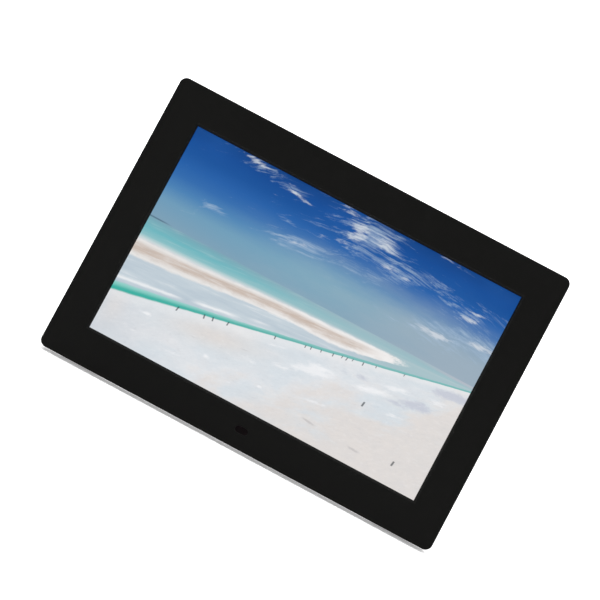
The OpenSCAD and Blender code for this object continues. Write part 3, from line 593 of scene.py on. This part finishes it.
CLOUD_HEARTS = [
    ((0.485, 0.020), (0.050, 0.030), 0.10, 0.95), ((0.525, 0.085), (0.040, 0.060), 0.10, 1.05),
    ((0.600, 0.075), (0.050, 0.045), 0.20, 0.80), ((0.480, 0.160), (0.045, 0.014), 0.30, 0.85),
    ((0.335, 0.064), (0.045, 0.012), -0.20, 1.10), ((0.185, 0.012), (0.050, 0.014), -0.20, 0.95),
    ((0.290, 0.032), (0.035, 0.008), -0.05, 0.85), ((0.650, 0.160), (0.030, 0.012), 0.10, 0.85),
    ((0.705, 0.165), (0.022, 0.010), 0.00, 0.80), ((0.920, 0.158), (0.040, 0.008), 0.05, 0.95),
    ((0.900, 0.195), (0.045, 0.016), 0.15, 0.85), ((0.840, 0.318), (0.080, 0.018), 0.08, 1.05),
    ((0.970, 0.280), (0.060, 0.014), 0.10, 1.00), ((0.400, 0.245), (0.060, 0.012), 0.30, 0.75),
    ((0.750, 0.005), (0.050, 0.008), 0.00, 0.80),
]

CLOUD_VEILS = [
    ((0.550, 0.080), (0.140, 0.110), 0.20, 1.00), ((0.420, 0.240), (0.150, 0.050), 0.25, 0.95),
    ((0.680, 0.140), (0.140, 0.060), 0.05, 0.90), ((0.880, 0.160), (0.120, 0.060), 0.05, 0.90),
    ((0.880, 0.300), (0.170, 0.070), 0.10, 1.05), ((0.270, 0.040), (0.140, 0.035), -0.20, 0.80),
    ((0.140, 0.285), (0.060, 0.018), -0.10, 0.90), ((0.620, 0.220), (0.120, 0.050), 0.10, 0.85),
    ((0.330, 0.180), (0.050, 0.014), 0.00, 0.60),
]

# where each ridge starts and stops from left to right, its level at the start, and its weight
LAGOON_RIDGES = [(-0.10, 0.20, 0.770, 1.0), (0.20, 0.36, 0.693, 1.1), (0.36, 0.45, 0.643, 0.7)]

WARM_PATCHES = [
    ((0.31, 0.78), (0.12, 0.050), 0.25, 1.0), ((0.56, 0.96), (0.10, 0.060), 0.30, 0.9),
    ((0.03, 0.86), (0.03, 0.08), 0.0, 0.5),
]

POOLS = [
    ((0.885, 0.635), (0.060, 0.030), 0.20, 1.0), ((0.965, 0.525), (0.080, 0.028), 0.25, 1.0),
    ((0.840, 0.665), (0.040, 0.014), 0.00, 0.8), ((0.700, 0.640), (0.060, 0.018), 0.25, 0.6),
    ((0.900, 0.760), (0.090, 0.030), 0.30, 0.4), ((0.640, 0.780), (0.070, 0.020), 0.35, 0.5),
]

SALT_CRUSTS = [
    ((0.600, 0.700), (0.085, 0.045), 0.45, 1.0), ((0.520, 0.760), (0.055, 0.018), 0.20, 0.9),
    ((0.750, 0.665), (0.090, 0.030), 0.25, 1.0), ((0.820, 0.610), (0.050, 0.020), 0.30, 0.9),
    ((0.930, 0.580), (0.060, 0.020), 0.20, 0.8), ((0.125, 0.830), (0.035, 0.016), 0.00, 0.8),
    ((0.320, 0.872), (0.018, 0.012), 0.00, 1.1), ((0.485, 0.880), (0.012, 0.010), 0.00, 1.1),
    ((0.430, 0.800), (0.040, 0.016), 0.10, 0.8), ((0.100, 0.920), (0.050, 0.012), 0.00, 0.7),
    ((0.630, 0.830), (0.050, 0.012), 0.25, 0.7), ((0.470, 0.690), (0.050, 0.014), 0.30, 0.8),
    ((0.700, 0.560), (0.040, 0.008), 0.32, 0.8), ((0.240, 0.930), (0.060, 0.014), 0.00, 0.6),
    ((0.380, 0.930), (0.060, 0.014), 0.10, 0.6), ((0.840, 0.720), (0.060, 0.012), 0.20, 0.6),
]

STAINS = [
    ((0.645, 0.914), (0.030, 0.008), -0.15, 1.0), ((0.790, 0.930), (0.028, 0.009), -0.10, 1.0),
    ((0.260, 0.825), (0.020, 0.005), 0.10, 0.8), ((0.400, 0.770), (0.050, 0.004), 0.20, 0.6),
]


def picture_plane(g):
    """Across and down the lit picture, each from 0 to 1, and a mask that is 1 inside it."""
    x, y, z = g.position()
    u = (x - MIDDLE.x) / ACTIVE_W + 0.5
    v = 0.5 - (y - MIDDLE.y) / ACTIVE_H
    inside = g.math("LESS_THAN", g.math("ABSOLUTE", u - 0.5), 0.5)
    inside = inside * g.math("LESS_THAN", g.math("ABSOLUTE", v - 0.5), 0.5)
    inside = inside * g.math("GREATER_THAN", z, GLASS_FRONT - 0.1 * MM)
    return u, v, inside


def spot(g, u, v, place, spread, tilt):
    """A soft oval spot: 1 at place and near 0 beyond spread; tilt raises its right end."""
    du = (u - place[0]) / spread[0]
    dv = (v - place[1] + (u - place[0]) * tilt) / spread[1]
    return g.math("EXPONENT", (du * du + dv * dv) * -1.0)


def spots(g, u, v, places):
    """The strongest of several soft spots, each given as place, spread, tilt and weight."""
    return g.greatest([spot(g, u, v, *shape) * weight for *shape, weight in places])


def band(g, value, middle, outer, inner):
    """1 within inner of the middle, and 0 beyond outer."""
    return g.smooth(g.math("ABSOLUTE", value - middle), outer, inner)


def streaks(g, across, down, seed, warp=0.0, detail=7.0, roughness=0.6):
    """Noise drawn out along the first of two coordinates, both already scaled."""
    place = g.vector(across + warp, down + warp, seed)
    return g.noise(1, detail=detail, roughness=roughness, place=place)


def sky(g, u, v):
    """Deep blue overhead that pales to a grey-green haze at the horizon, with wisps of cloud."""
    blue = g.ramp(v / 0.45, [
        (0.00, srgb(10, 64, 130)), (0.13, srgb(11, 73, 146)), (0.25, srgb(19, 81, 153)),
        (0.38, srgb(33, 94, 166)), (0.51, srgb(48, 106, 172)), (0.64, srgb(74, 129, 180)),
        (0.78, srgb(109, 154, 184)), (1.00, srgb(126, 160, 181)),
    ])
    broad = g.noise(1, detail=4, place=g.vector(u * 2.6, v * 3.0, 4.4))
    brighter = g.smooth(broad, 0.35, 0.70) * g.smooth(v, 0.34, 0.05)
    blue = g.mix(brighter * 0.40, blue, srgb(34, 98, 176))
    misty = streaks(g, u * 3.0, v * 8.0, 6.1, detail=6)
    haze = g.smooth(u + (misty - 0.5) * 0.7, 0.15, 0.95)
    haze = haze * g.smooth(v + (misty - 0.5) * 0.12, 0.16, 0.37)
    blue = g.mix(haze * 0.92, blue, srgb(157, 174, 188))
    teal = spots(g, u, v, [
        ((0.50, 0.34), (0.26, 0.10), 0.0, 1.0), ((0.28, 0.36), (0.16, 0.06), 0.0, 0.5),
    ])
    blue = g.mix(teal * 0.40, blue, srgb(124, 174, 190))

    # wisps of cloud: their fibres follow a bend across the sky
    bend = v + g.math("SINE", u * 2.4) * 0.20
    warp = (g.noise(1, detail=5, place=g.vector(u * 6.0, v * 7.0, 0.3)) - 0.5) * 1.5
    wisp = streaks(g, u * 8.0, bend * 24.0, 1.7, warp, detail=9, roughness=0.66)
    fibre = streaks(g, u * 16.0, bend * 74.0, 5.1, warp * 3.0, detail=9, roughness=0.70)
    puff = streaks(g, u * 18.0, v * 17.0, 8.8, warp, detail=9, roughness=0.66)
    heart = spots(g, u, v, CLOUD_HEARTS)
    veil = spots(g, u, v, CLOUD_VEILS)
    thin = g.smooth(veil * 0.55 + (wisp - 0.5) * 1.25 + (fibre - 0.5) * 1.75, 0.24, 0.84)
    ragged = (wisp - 0.5) * 0.95 + (puff - 0.5) * 1.00 + (fibre - 0.5) * 1.15
    dense = g.smooth(heart * 0.55 + ragged, 0.26, 0.70)
    blue = g.mix(thin * 0.70, blue, srgb(164, 187, 210))
    return g.mix(dense * 0.85, blue, srgb(206, 213, 221))


def water_and_sand(g, u, v):
    """Turquoise shallows, a bar of sand and a pale lagoon, as far as the channel."""
    rise = v + u * 0.14
    ripple = streaks(g, u * 9.0, rise * 80.0, 3.1)
    soft = streaks(g, u * 4.0, rise * 24.0, 5.9, detail=5)
    fine = streaks(g, u * 30.0, v * 50.0, 9.2, detail=8, roughness=0.7)
    edge = (fine - 0.5) * 0.012 + (soft - 0.5) * 0.010

    # the sea, palest along the shore and towards the right, where the air is hazy
    shore = g.curve(u, [
        (0.0, 0.549), (0.2, 0.535), (0.4, 0.512), (0.6, 0.497), (0.8, 0.484), (1.0, 0.462),
    ])
    sea = g.ramp((v - 0.445) / (shore - 0.445), [
        (0.00, srgb(122, 163, 180)), (0.20, srgb(116, 172, 184)), (0.50, srgb(110, 181, 190)),
        (0.80, srgb(138, 190, 196)), (1.00, srgb(206, 218, 218)),
    ])
    sea = g.mix(g.smooth(u, 0.15, 0.75) * 0.75, sea, srgb(166, 190, 198))
    sea = g.mix(g.smooth(ripple, 0.46, 0.74) * 0.28, sea, srgb(182, 208, 210))
    mauve = g.smooth(u, 0.80, 0.97) * g.smooth(v, 0.462, 0.450)
    sea = g.mix(mauve * 0.6, sea, srgb(190, 186, 198))

    # the lagoon, with long white ridges
    lagoon = g.mix(g.smooth(soft, 0.35, 0.65), srgb(184, 198, 209), srgb(197, 209, 217))
    ridges = []
    for start, stop, level, weight in LAGOON_RIDGES:
        across = g.smooth(u, start, start + 0.05) * g.smooth(u, stop, stop - 0.05)
        down = (v - level + (u - start) * 0.24 + edge) / 0.0065
        ridges.append(g.math("EXPONENT", down * down * -1.0) * across * weight)
    lagoon = g.mix(g.smooth(ripple + (soft - 0.5), 0.58, 0.80) * 0.6, lagoon, srgb(226, 230, 234))
    lagoon = g.mix(g.greatest(ridges) * 0.85, lagoon, srgb(238, 240, 242))
    lagoon = g.mix(g.smooth(u, 0.62, 0.80) * 0.8, lagoon, srgb(160, 190, 196))

    # the sand bar: white edges round a tan core
    top = shore + edge
    low = edge * 1.5 + g.curve(u, [
        (0.0, 0.640), (0.1, 0.627), (0.2, 0.610), (0.3, 0.592), (0.4, 0.577), (0.5, 0.570),
        (0.6, 0.571), (0.67, 0.556), (0.75, 0.532), (0.82, 0.505), (1.0, 0.452),
    ])
    inside = (v - top) / (low - top)
    tip = g.smooth(u + (fine - 0.5) * 0.12 + (v - 0.5) * 0.5, 0.82, 0.77)
    bar = g.smooth(inside, -0.06, 0.12) * g.smooth(inside, 1.03, 0.90) * tip
    core = g.smooth(inside, 0.10, 0.40) * g.smooth(inside, 0.92, 0.52) * g.smooth(u, 0.76, 0.64)
    grainy = streaks(g, u * 12.0, rise * 80.0, 6.6, detail=8, roughness=0.7)
    sand = g.mix(g.smooth(u, 0.0, 0.8), srgb(230, 228, 226), srgb(240, 238, 237))
    sand = g.mix(core * (g.smooth(grainy, 0.30, 0.62) * 0.55 + 0.36), sand, srgb(196, 178, 165))
    sand = g.mix(g.smooth(fine, 0.42, 0.70) * 0.16, sand, srgb(176, 168, 164))

    far = g.mix(g.smooth(v, shore - 0.005, shore + 0.005), sea, lagoon)
    return g.mix(bar, far, sand)


def beach(g, u, v, line):
    """White ground below the channel, with warm and cool patches and ridges of salt."""
    fine = streaks(g, u * 26.0, v * 26.0, 2.2, detail=9, roughness=0.74)
    place = g.vector(u * 5.0, v * 6.5 + u * 2.0, 2.4)
    patch = g.noise(1, detail=7, roughness=0.62, distortion=0.3, place=place)
    ground = g.mix(g.smooth(patch, 0.35, 0.65), srgb(215, 223, 229), srgb(227, 229, 232))
    ground = g.mix(spot(g, u, v, (0.0, 0.95), (0.14, 0.20), 0.0) * 0.8, ground, srgb(206, 211, 217))
    warm = g.smooth(u * 0.75 + v + (patch - 0.5) * 0.9, 1.20, 1.44)
    warm = g.math("MAXIMUM", warm, spots(g, u, v, WARM_PATCHES))
    ground = g.mix(warm * 0.9, ground, srgb(224, 218, 214))

    # blue-grey pools on the right
    pool = g.smooth(spots(g, u, v, POOLS) * 0.75 + (fine - 0.5) * 1.2, 0.30, 0.70)
    ground = g.mix(pool * 0.85, ground, srgb(196, 200, 213))

    # white crusts: clumps and slanted ridges
    crust = streaks(g, u * 13.0, (v + u * 0.35) * 32.0, 4.9, detail=9, roughness=0.70)
    clump = spots(g, u, v, SALT_CRUSTS) * 0.62
    white = g.smooth(clump + (crust - 0.5) * 1.3 + (fine - 0.5) * 1.0, 0.28, 0.70)
    ground = g.mix(white * 0.95, ground, srgb(243, 244, 246))

    # a few small dull stains, and crumbs all over
    stain = g.smooth(spots(g, u, v, STAINS) + (fine - 0.5) * 1.4, 0.50, 1.00)
    ground = g.mix(stain * 0.50, ground, srgb(178, 174, 174))
    crumb = streaks(g, u * 60.0, (v + u * 0.3) * 90.0, 7.4, detail=8, roughness=0.72)
    ground = g.mix(g.smooth(fine, 0.35, 0.65) * 0.14, ground, srgb(190, 195, 203))
    ground = g.mix(g.smooth(crumb, 0.50, 0.72) * 0.22, ground, srgb(244, 244, 245))
    ground = g.mix(g.smooth(crumb, 0.46, 0.30) * 0.20, ground, srgb(186, 188, 194))

    # a white bank that follows the channel
    bank = (v - line) / (0.060 - 0.040 * u) + (fine - 0.5) * 0.9
    return g.mix(g.smooth(bank, 1.3, 0.5) * 0.35, ground, srgb(238, 238, 238))


def channel(g, u, v, line, picture):
    """Green water in a narrow cut, pale on its far side and deep on its near side."""
    fine = streaks(g, u * 40.0, v * 60.0, 7.7, detail=6, roughness=0.65)
    half_width = g.curve(u, [
        (0.0, 0.0185), (0.1, 0.0160), (0.2, 0.0130), (0.35, 0.0095), (0.6, 0.0066), (1.0, 0.0036),
    ])
    away = (v - line + (fine - 0.5) * 0.005) / half_width
    cut = g.smooth(g.math("ABSOLUTE", away), 1.35, 0.75)
    water = g.mix(g.smooth(away, -0.9, 0.5), srgb(142, 206, 198), srgb(60, 174, 160))
    water = g.mix(g.smooth(u, 0.05, 0.80) * 0.80, water, srgb(128, 184, 184))
    return g.mix(cut, picture, water)


def posts(g, u, v, line):
    """A broken row of short dark posts along the channel, closer with distance, and two on the beach."""
    near = [(0.190 + 0.067 * k + 0.006 * math.sin(7 * k), 0.95 - 0.06 * k) for k in (0, 1, 1.5, 2, 4)]
    far = [(0.545 + 0.0235 * k + 0.009 * math.sin(5 * k), 0.60 + 0.12 * math.sin(3 * k)) for k in range(9)]
    marks = []
    for across, size in near + far + [(0.82, 0.5)]:
        lean = (v - line) * 0.12 * math.sin(40 * across)
        wide = band(g, u + lean, across, 0.0034 * size, 0.0012 * size)
        marks.append(wide * band(g, v - line, 0.018 * size, 0.0135 * size, 0.0085 * size))
    for across, down in (0.757, 0.735), (0.903, 0.903):
        wide = band(g, u + (v - down) * 0.1, across, 0.0040, 0.0014)
        marks.append(wide * band(g, v, down, 0.0135, 0.0090))
    return g.greatest(marks)


def display_glass():
    """A lit beach scene behind an anti-glare front, with the unlit black border of the panel round it."""
    g = Graph("display_glass")
    u, v, inside = picture_plane(g)
    sag = g.noise(1, detail=3, place=g.vector(u * 6.0, 0.0, 1.1)) - 0.5
    line = 0.788 - u * 0.318 + g.math("SINE", u * math.pi) * 0.006 + sag * 0.006
    ground = g.mix(g.smooth(v, line - 0.003, line + 0.003), water_and_sand(g, u, v), beach(g, u, v, line))
    ground = channel(g, u, v, line, ground)
    picture = g.mix(g.smooth(v, HORIZON, HORIZON + 0.005), sky(g, u, v), ground)
    far_shore = g.smooth(u, 0.075, 0.030) * band(g, v, HORIZON, 0.0050, 0.0015)
    picture = g.mix(far_shore * 0.7, picture, srgb(66, 98, 118))
    picture = g.mix(posts(g, u, v, line) * 0.75, picture, srgb(48, 58, 64))
    sparkle = g.noise(5200, detail=1)
    g.set(
        Base_Color=(0.004, 0.004, 0.005, 1),
        Roughness=0.30 + 0.08 * sparkle,
        Specular_IOR_Level=0.10,
        Emission_Color=g.mix(inside, (0, 0, 0, 1), picture),
        Emission_Strength=1.0,
    )
    g.bump(sparkle, 0.002 * MM)
    return g.material


# ---------------- edges


SHARP_ANGLE = math.radians(32)  # an edge that bends by more than this stays an edge


def soften(name, width, clamp=False):
    """Rounds a CAD node's sharp edges and smooths its curved faces, with modifiers only."""
    obj = nodes[name]
    weld = obj.modifiers.new("weld", "WELD")
    weld.merge_threshold = 0.002 * MM
    flat = obj.modifiers.new("flat", "DECIMATE")
    flat.decimate_type = "DISSOLVE"
    flat.angle_limit = math.radians(0.5)
    bevel = obj.modifiers.new("bevel", "BEVEL")
    bevel.limit_method = "ANGLE"
    bevel.angle_limit = SHARP_ANGLE
    bevel.width = width * MM
    bevel.segments = 2
    bevel.use_clamp_overlap = clamp
    smooth = obj.modifiers.new("smooth", "NODES")
    smooth.node_group = bpy.data.node_groups.get("smooth_edges") or make_smooth_group()
    smooth["Socket_1"] = SHARP_ANGLE
    weighted = obj.modifiers.new("weighted", "WEIGHTED_NORMAL")
    weighted.keep_sharp = True


def make_smooth_group():
    """Geometry nodes that shade faces smooth and keep edges over the given angle sharp."""
    group = bpy.data.node_groups.new("smooth_edges", "GeometryNodeTree")
    group.interface.new_socket("Geometry", in_out="INPUT", socket_type="NodeSocketGeometry")
    group.interface.new_socket("Angle", in_out="INPUT", socket_type="NodeSocketFloat")
    group.interface.new_socket("Geometry", in_out="OUTPUT", socket_type="NodeSocketGeometry")
    add = group.nodes.new
    source, sink = add("NodeGroupInput"), add("NodeGroupOutput")
    faces, edges = add("GeometryNodeSetShadeSmooth"), add("GeometryNodeSetShadeSmooth")
    edges.domain = "EDGE"
    angle, within = add("GeometryNodeInputMeshEdgeAngle"), add("ShaderNodeMath")
    within.operation = "LESS_THAN"
    link = group.links.new
    link(source.outputs[0], faces.inputs[0])
    link(faces.outputs[0], edges.inputs[0])
    link(angle.outputs["Unsigned Angle"], within.inputs[0])
    link(source.outputs[1], within.inputs[1])
    link(within.outputs[0], edges.inputs["Shade Smooth"])
    link(edges.outputs[0], sink.inputs[0])
    return group


# ---------------- finish of every CAD node


BLACK = srgb(12, 12, 11)

materials = {
    "bezel_plastic": plastic("bezel_plastic", BLACK, srgb(38, 38, 36), 0.52, specular=0.08),
    "cover_plastic": plastic("cover_plastic", srgb(22, 22, 21), srgb(56, 56, 54), 0.50, 1300.0, 0.09, 0.32),
    "button_plastic": button_plastic(),
    "infrared_plastic": infrared_plastic(),
    "display_glass": display_glass(),
    "clear_acrylic": film("clear_acrylic", srgb(222, 236, 240), srgb(190, 214, 222), 0.12, 0.5),
    "white_film": film("white_film", srgb(240, 240, 240), srgb(216, 218, 222), 0.45, 0.0),
    "white_plastic": plastic("white_plastic", srgb(232, 230, 222), srgb(245, 244, 240), 0.5),
    "tray_steel": metal("tray_steel", srgb(196, 198, 201), 0.34),
    "led_package": led(),
    "flex_film": flat_cable("flex_film", srgb(205, 128, 44), srgb(150, 84, 24)),
    "board_laminate": laminate("board_laminate", srgb(14, 74, 42), srgb(44, 116, 66)),
    "chip_plastic": ceramic("chip_plastic", srgb(28, 28, 30), 0.55),
    "can_aluminium": metal("can_aluminium", srgb(205, 206, 210), 0.28),
    "ferrite": ceramic("ferrite", srgb(62, 62, 66), 0.62, speck=0.7),
    "socket_steel": metal("socket_steel", srgb(208, 208, 210), 0.24),
    "socket_plastic": plastic("socket_plastic", srgb(24, 24, 25), srgb(60, 60, 60), 0.45),
    "screw_steel": metal("screw_steel", srgb(202, 204, 208), 0.26),
    "black_screw": metal("black_screw", srgb(58, 58, 62), 0.36),
    "pin_steel": metal("pin_steel", srgb(215, 216, 220), 0.16),
    "nylon": plastic("nylon", srgb(226, 216, 176), srgb(240, 236, 214), 0.5),
    "foot_rubber": rubber("foot_rubber", srgb(34, 34, 34)),
    "seal_foam": rubber("seal_foam", srgb(26, 26, 26), 0.85, pore_scale=2200, pore_depth=0.06),
    "cone_paper": cone_paper(),
    "cable_grey": flat_cable("cable_grey", srgb(214, 214, 210), srgb(160, 160, 156)),
    "wire_black": rubber("wire_black", srgb(30, 30, 32), 0.5, pore_scale=3000, pore_depth=0.006),
    "wire_red": rubber("wire_red", srgb(168, 26, 20), 0.5, pore_scale=3000, pore_depth=0.006),
}

# the sockets have materials of their own, as metal and plastic meet in one CAD node
SOCKETS = {
    "card_socket": card_slot(),
    "usb_socket": tongue_socket("usb_socket", 3.3, 1.8, 5.5, (-3.5, -1.0, 1.0, 3.5), 1.1),
    "mini_usb_socket": tongue_socket("mini_usb_socket", 1.7, 0.8, 2.6, (-1.6, -0.8, 0.0, 0.8, 1.6), 0.45),
    "headphone_socket": round_socket("headphone_socket", 1.9, 3.3),
    "power_socket": round_socket("power_socket", 1.1, 5.5),
}

# widths of the rounded edges, mm
BUTTON_EDGE = 0.06
SOFT_EDGES = {
    "front_bezel": 0.35, "rear_cover": 0.35, "stand_leg": 0.45, "stand_foot_pad": 0.5, "rubber_feet": 0.5,
    "ir_window": 0.15, "stand_bracket": 0.12, "stand_pin": 0.2, "card_socket": 0.06, "usb_socket": 0.06,
    "mini_usb_socket": 0.06, "headphone_socket": 0.15, "power_socket": 0.2, "housing_screws": 0.1,
    "bracket_screws": 0.1, "inner_screws": 0.1, "processor": 0.1, "memory_chips": 0.1,
}


def finish_nodes():
    """Gives every CAD node its material, and rounds the edges that show."""
    slots = {s["node"]: s["material_slot"] for s in frame["record"]["subparts"]}
    for name, obj in nodes.items():
        obj.material_slots[0].link = "DATA"
        obj.data.materials[0] = SOCKETS.get(name) or materials[slots[name]]
        if name in SOFT_EDGES:
            soften(name, SOFT_EDGES[name])
        elif name.startswith("button_"):
            soften(name, BUTTON_EDGE, clamp=True)


# ---------------- small added pieces


def add_mesh(name, points, faces, material, smooth=True):
    """A new object from points in the CAD model's frame."""
    mesh = bpy.data.meshes.new(name)
    mesh.from_pydata([tuple(p) for p in points], [], faces)
    mesh.polygons.foreach_set("use_smooth", [smooth] * len(mesh.polygons))
    mesh.materials.append(material)
    piece = bpy.data.objects.new(name, mesh)
    scene.collection.objects.link(piece)
    return piece


CLOTH_RADIUS = 12.2 * MM
CLOTH_BULGE = 0.25 * MM
CLOTH_THICKNESS = 0.12 * MM
CLOTH_RINGS = 7
CLOTH_SPOKES = 48


def cloth_disc(centre):
    """Points and faces of a shallow dome about its centre, which is given along RIGHT, UP and OUT."""
    points = [centre + Vector((0, 0, CLOTH_BULGE))]
    for ring in range(1, CLOTH_RINGS + 1):
        share = ring / CLOTH_RINGS
        rise = CLOTH_BULGE * (1 - share * share)
        for k in range(CLOTH_SPOKES):
            a = 2 * math.pi * k / CLOTH_SPOKES
            r = CLOTH_RADIUS * share
            points.append(centre + Vector((r * math.cos(a), r * math.sin(a), rise)))
    following = [(k + 1) % CLOTH_SPOKES for k in range(CLOTH_SPOKES)]
    faces = [(0, 1 + k, 1 + n) for k, n in enumerate(following)]
    for ring in range(CLOTH_RINGS - 1):
        inner = 1 + ring * CLOTH_SPOKES
        outer = inner + CLOTH_SPOKES
        faces += [(inner + k, outer + k, outer + n, inner + n) for k, n in enumerate(following)]
    return [DEVICE @ p for p in points], faces


def add_speaker_cloths():
    """Discs of black cloth stretched behind the grilles, inside the foam rings."""
    low, high = device_box("speaker_seals")
    seal_radius = 14 * MM
    middle = (low + high) / 2
    reach = (high.x - low.x) / 2 - seal_radius
    cloth = grille_cloth()
    for side, label in ((-1, "left"), (1, "right")):
        centre = Vector((middle.x + side * reach, middle.y, low.z + 0.2 * MM))
        piece = add_mesh(f"speaker_cloth_{label}", *cloth_disc(centre), cloth)
        thick = piece.modifiers.new("thick", "SOLIDIFY")
        thick.thickness = CLOTH_THICKNESS
        thick.offset = 1.0
        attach(piece, "housing")


CHIP_W = 0.9 * MM
CHIP_L = 1.8 * MM
CHIP_H = 0.6 * MM
CHIP_CAP = 0.4 * MM
CHIP_BEVEL = 0.15  # as a share of half the width and of the height


def chip_shape():
    """Points, faces and material numbers of a small board part along UP, with tinned caps on its ends."""
    half_w, half_l = CHIP_W / 2, CHIP_L / 2
    cap = half_l - CHIP_CAP
    rows = [(-half_l, 1), (-cap, 1), (-cap, 0.94), (cap, 0.94), (cap, 1), (half_l, 1)]
    top = 1 - CHIP_BEVEL
    outline = [(-1, 0), (1, 0), (1, top), (top, 1), (-top, 1), (-1, top)]
    count = len(outline)
    points = [(x * half_w * grow, y, z * CHIP_H * grow) for y, grow in rows for x, z in outline]
    faces, kinds = [], []  # kind 0 is the bare body between the caps, kind 1 the caps
    for row in range(len(rows) - 1):
        here, there = row * count, (row + 1) * count
        for k in range(count):
            n = (k + 1) % count
            faces.append((here + k, here + n, there + n, there + k))
            kinds.append(0 if row == 2 else 1)
    last = len(points) - count
    faces.append(tuple(range(count - 1, -1, -1)))
    faces.append(tuple(range(last, last + count)))
    return points, faces, kinds + [1, 1]


def row_of(count, start, step):
    """Places in a row."""
    return [(start[0] + step[0] * k, start[1] + step[1] * k) for k in range(count)]


# millimetres to the right of the middle, and up from the device's lower edge
RESISTOR_PLACES = (
    row_of(9, (40, 74.5), (1.6, 0)) + row_of(4, (62, 56), (0, 2.6))
    + row_of(6, (64, 108), (1.7, 0)) + row_of(8, (44, 119), (1.7, 0))
)
CAPACITOR_PLACES = (
    row_of(8, (28.5, 62), (0, 2.8)) + row_of(8, (63.5, 80), (0, 2.8))
    + row_of(6, (42, 84), (0, 3.0)) + row_of(6, (58, 126), (1.8, 0))
)


def add_board_parts(name, slot, places, tin):
    """Small parts soldered to the back of the main board; every fifth one lies across the others."""
    board = device_box("main_board")[0].z
    chip_points, chip_faces, chip_kinds = chip_shape()
    points, faces = [], []
    for number, (right, up) in enumerate(places):
        across = number % 5 == 4
        start = len(points)
        for x, y, z in chip_points:
            dx, dy = (y, x) if across else (x, y)
            points.append(at(right * MM + dx, BOTTOM + up * MM + dy, board - z))
        for face in chip_faces:
            faces.append(tuple(start + i for i in (face if across else face[::-1])))
    piece = add_mesh(name, points, faces, materials[slot], smooth=False)
    piece.data.materials.append(tin)
    piece.data.polygons.foreach_set("material_index", chip_kinds * len(places))
    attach(piece, "housing")


# ---------------- stage and light


STAGE_HALF = 5.7  # half the width of the flat floor
STAGE_FRONT = -9.0
STAGE_BACK = 4.7
STAGE_CORNER = 2.2  # radius of its rear corners
STAGE_BEND = 1.8  # radius of the bend from floor to backdrop
STAGE_RISE = 4.0


def stage_edge():
    """Points on the flat floor's edge, from front left round the back, with their outward directions."""
    inner, depth = STAGE_HALF - STAGE_CORNER, STAGE_BACK - STAGE_CORNER
    edge = [((-STAGE_HALF, STAGE_FRONT), (-1.0, 0.0))]
    for middle, start in ((-inner, 180), (inner, 90)):
        for k in range(9):
            a = math.radians(start - 90 * k / 8)
            out = (math.cos(a), math.sin(a))
            edge.append(((middle + STAGE_CORNER * out[0], depth + STAGE_CORNER * out[1]), out))
    return edge + [((STAGE_HALF, STAGE_FRONT), (1.0, 0.0))]


def add_stage():
    """A plain white floor that curves up into a backdrop behind and on both sides."""
    edge = stage_edge()
    angles = [math.radians(90 * k / 16) for k in range(17)]
    profile = [(STAGE_BEND * math.sin(a), STAGE_BEND * (1 - math.cos(a))) for a in angles]
    profile.append((STAGE_BEND, STAGE_RISE))
    points = [
        (p[0] + out[0] * away, p[1] + out[1] * away, height) for away, height in profile for p, out in edge
    ]
    count = len(edge)
    faces = [tuple(range(count - 1, -1, -1))]
    for row in range(len(profile) - 1):
        for k in range(row * count, row * count + count - 1):
            faces.append((k, k + 1, k + count + 1, k + count))
    floor = add_mesh("floor", points, faces, floor_paper())


def floor_paper():
    """Matt white paper that glows a little."""
    g = Graph("floor_paper")
    fibre = g.noise(900, detail=3)
    g.set(
        Base_Color=(0.94, 0.94, 0.94, 1),
        Roughness=0.85 + 0.1 * fibre,
        Specular_IOR_Level=0.1,
        Emission_Color=(1, 1, 1, 1),
        Emission_Strength=0.35,
    )
    return g.material


def add_light(name, place, aim, size, power):
    """A soft rectangular panel that faces the point aim."""
    data = bpy.data.lights.new(name, "AREA")
    data.shape = "RECTANGLE"
    data.size, data.size_y = size
    data.energy = power
    light = bpy.data.objects.new(name, data)
    scene.collection.objects.link(light)
    place = Vector(place)
    turn = (Vector(aim) - place).to_track_quat("-Z", "Y")
    light.matrix_world = Matrix.Translation(place) @ turn.to_matrix().to_4x4()


def add_floor_spot(name, place, power):
    """Shines straight down on the floor far in front, and not on the device."""
    data = bpy.data.lights.new(name, "SPOT")
    data.spot_size = math.radians(125)
    data.spot_blend = 1.0
    data.shadow_soft_size = 0.1
    data.energy = power
    light = bpy.data.objects.new(name, data)
    light.location = place
    scene.collection.objects.link(light)


def add_lights():
    """A broad soft panel overhead, three boxes that draw the edges, and three spots on the far floor."""
    aim = (0, 0, 0.08)
    add_light("top", (0.0, 1.9, 3.4), (0.0, 1.9, 0.0), (12.0, 9.0), 600)
    add_light("left", (-2.0, -1.0, 1.5), aim, (1.0, 1.0), 9)
    add_light("right", (2.2, 0.8, 1.2), aim, (1.2, 1.2), 16)
    add_light("back", (-0.9, 2.6, 1.3), aim, (1.6, 1.0), 22)
    for side in (-3.0, 0.0, 3.0):
        add_floor_spot(f"floor_{side:.0f}", (side, -5.2, 2.4), 260)


def set_world():
    """A faint even light from all round, and plain colours in the picture."""
    world = bpy.data.worlds.new("world")
    world.use_nodes = True
    background = world.node_tree.nodes["Background"]
    background.inputs["Color"].default_value = (1, 1, 1, 1)
    background.inputs["Strength"].default_value = 0.18
    scene.world = world
    scene.view_settings.view_transform = "Standard"
    scene.view_settings.look = "None"


add_camera()
finish_nodes()
add_speaker_cloths()
solder = metal("solder_tin", srgb(205, 206, 208), 0.30)
add_board_parts("chip_resistors", "chip_plastic", RESISTOR_PLACES, solder)
add_board_parts("chip_capacitors", "ferrite", CAPACITOR_PLACES, solder)
add_stage()
add_lights()
set_world()
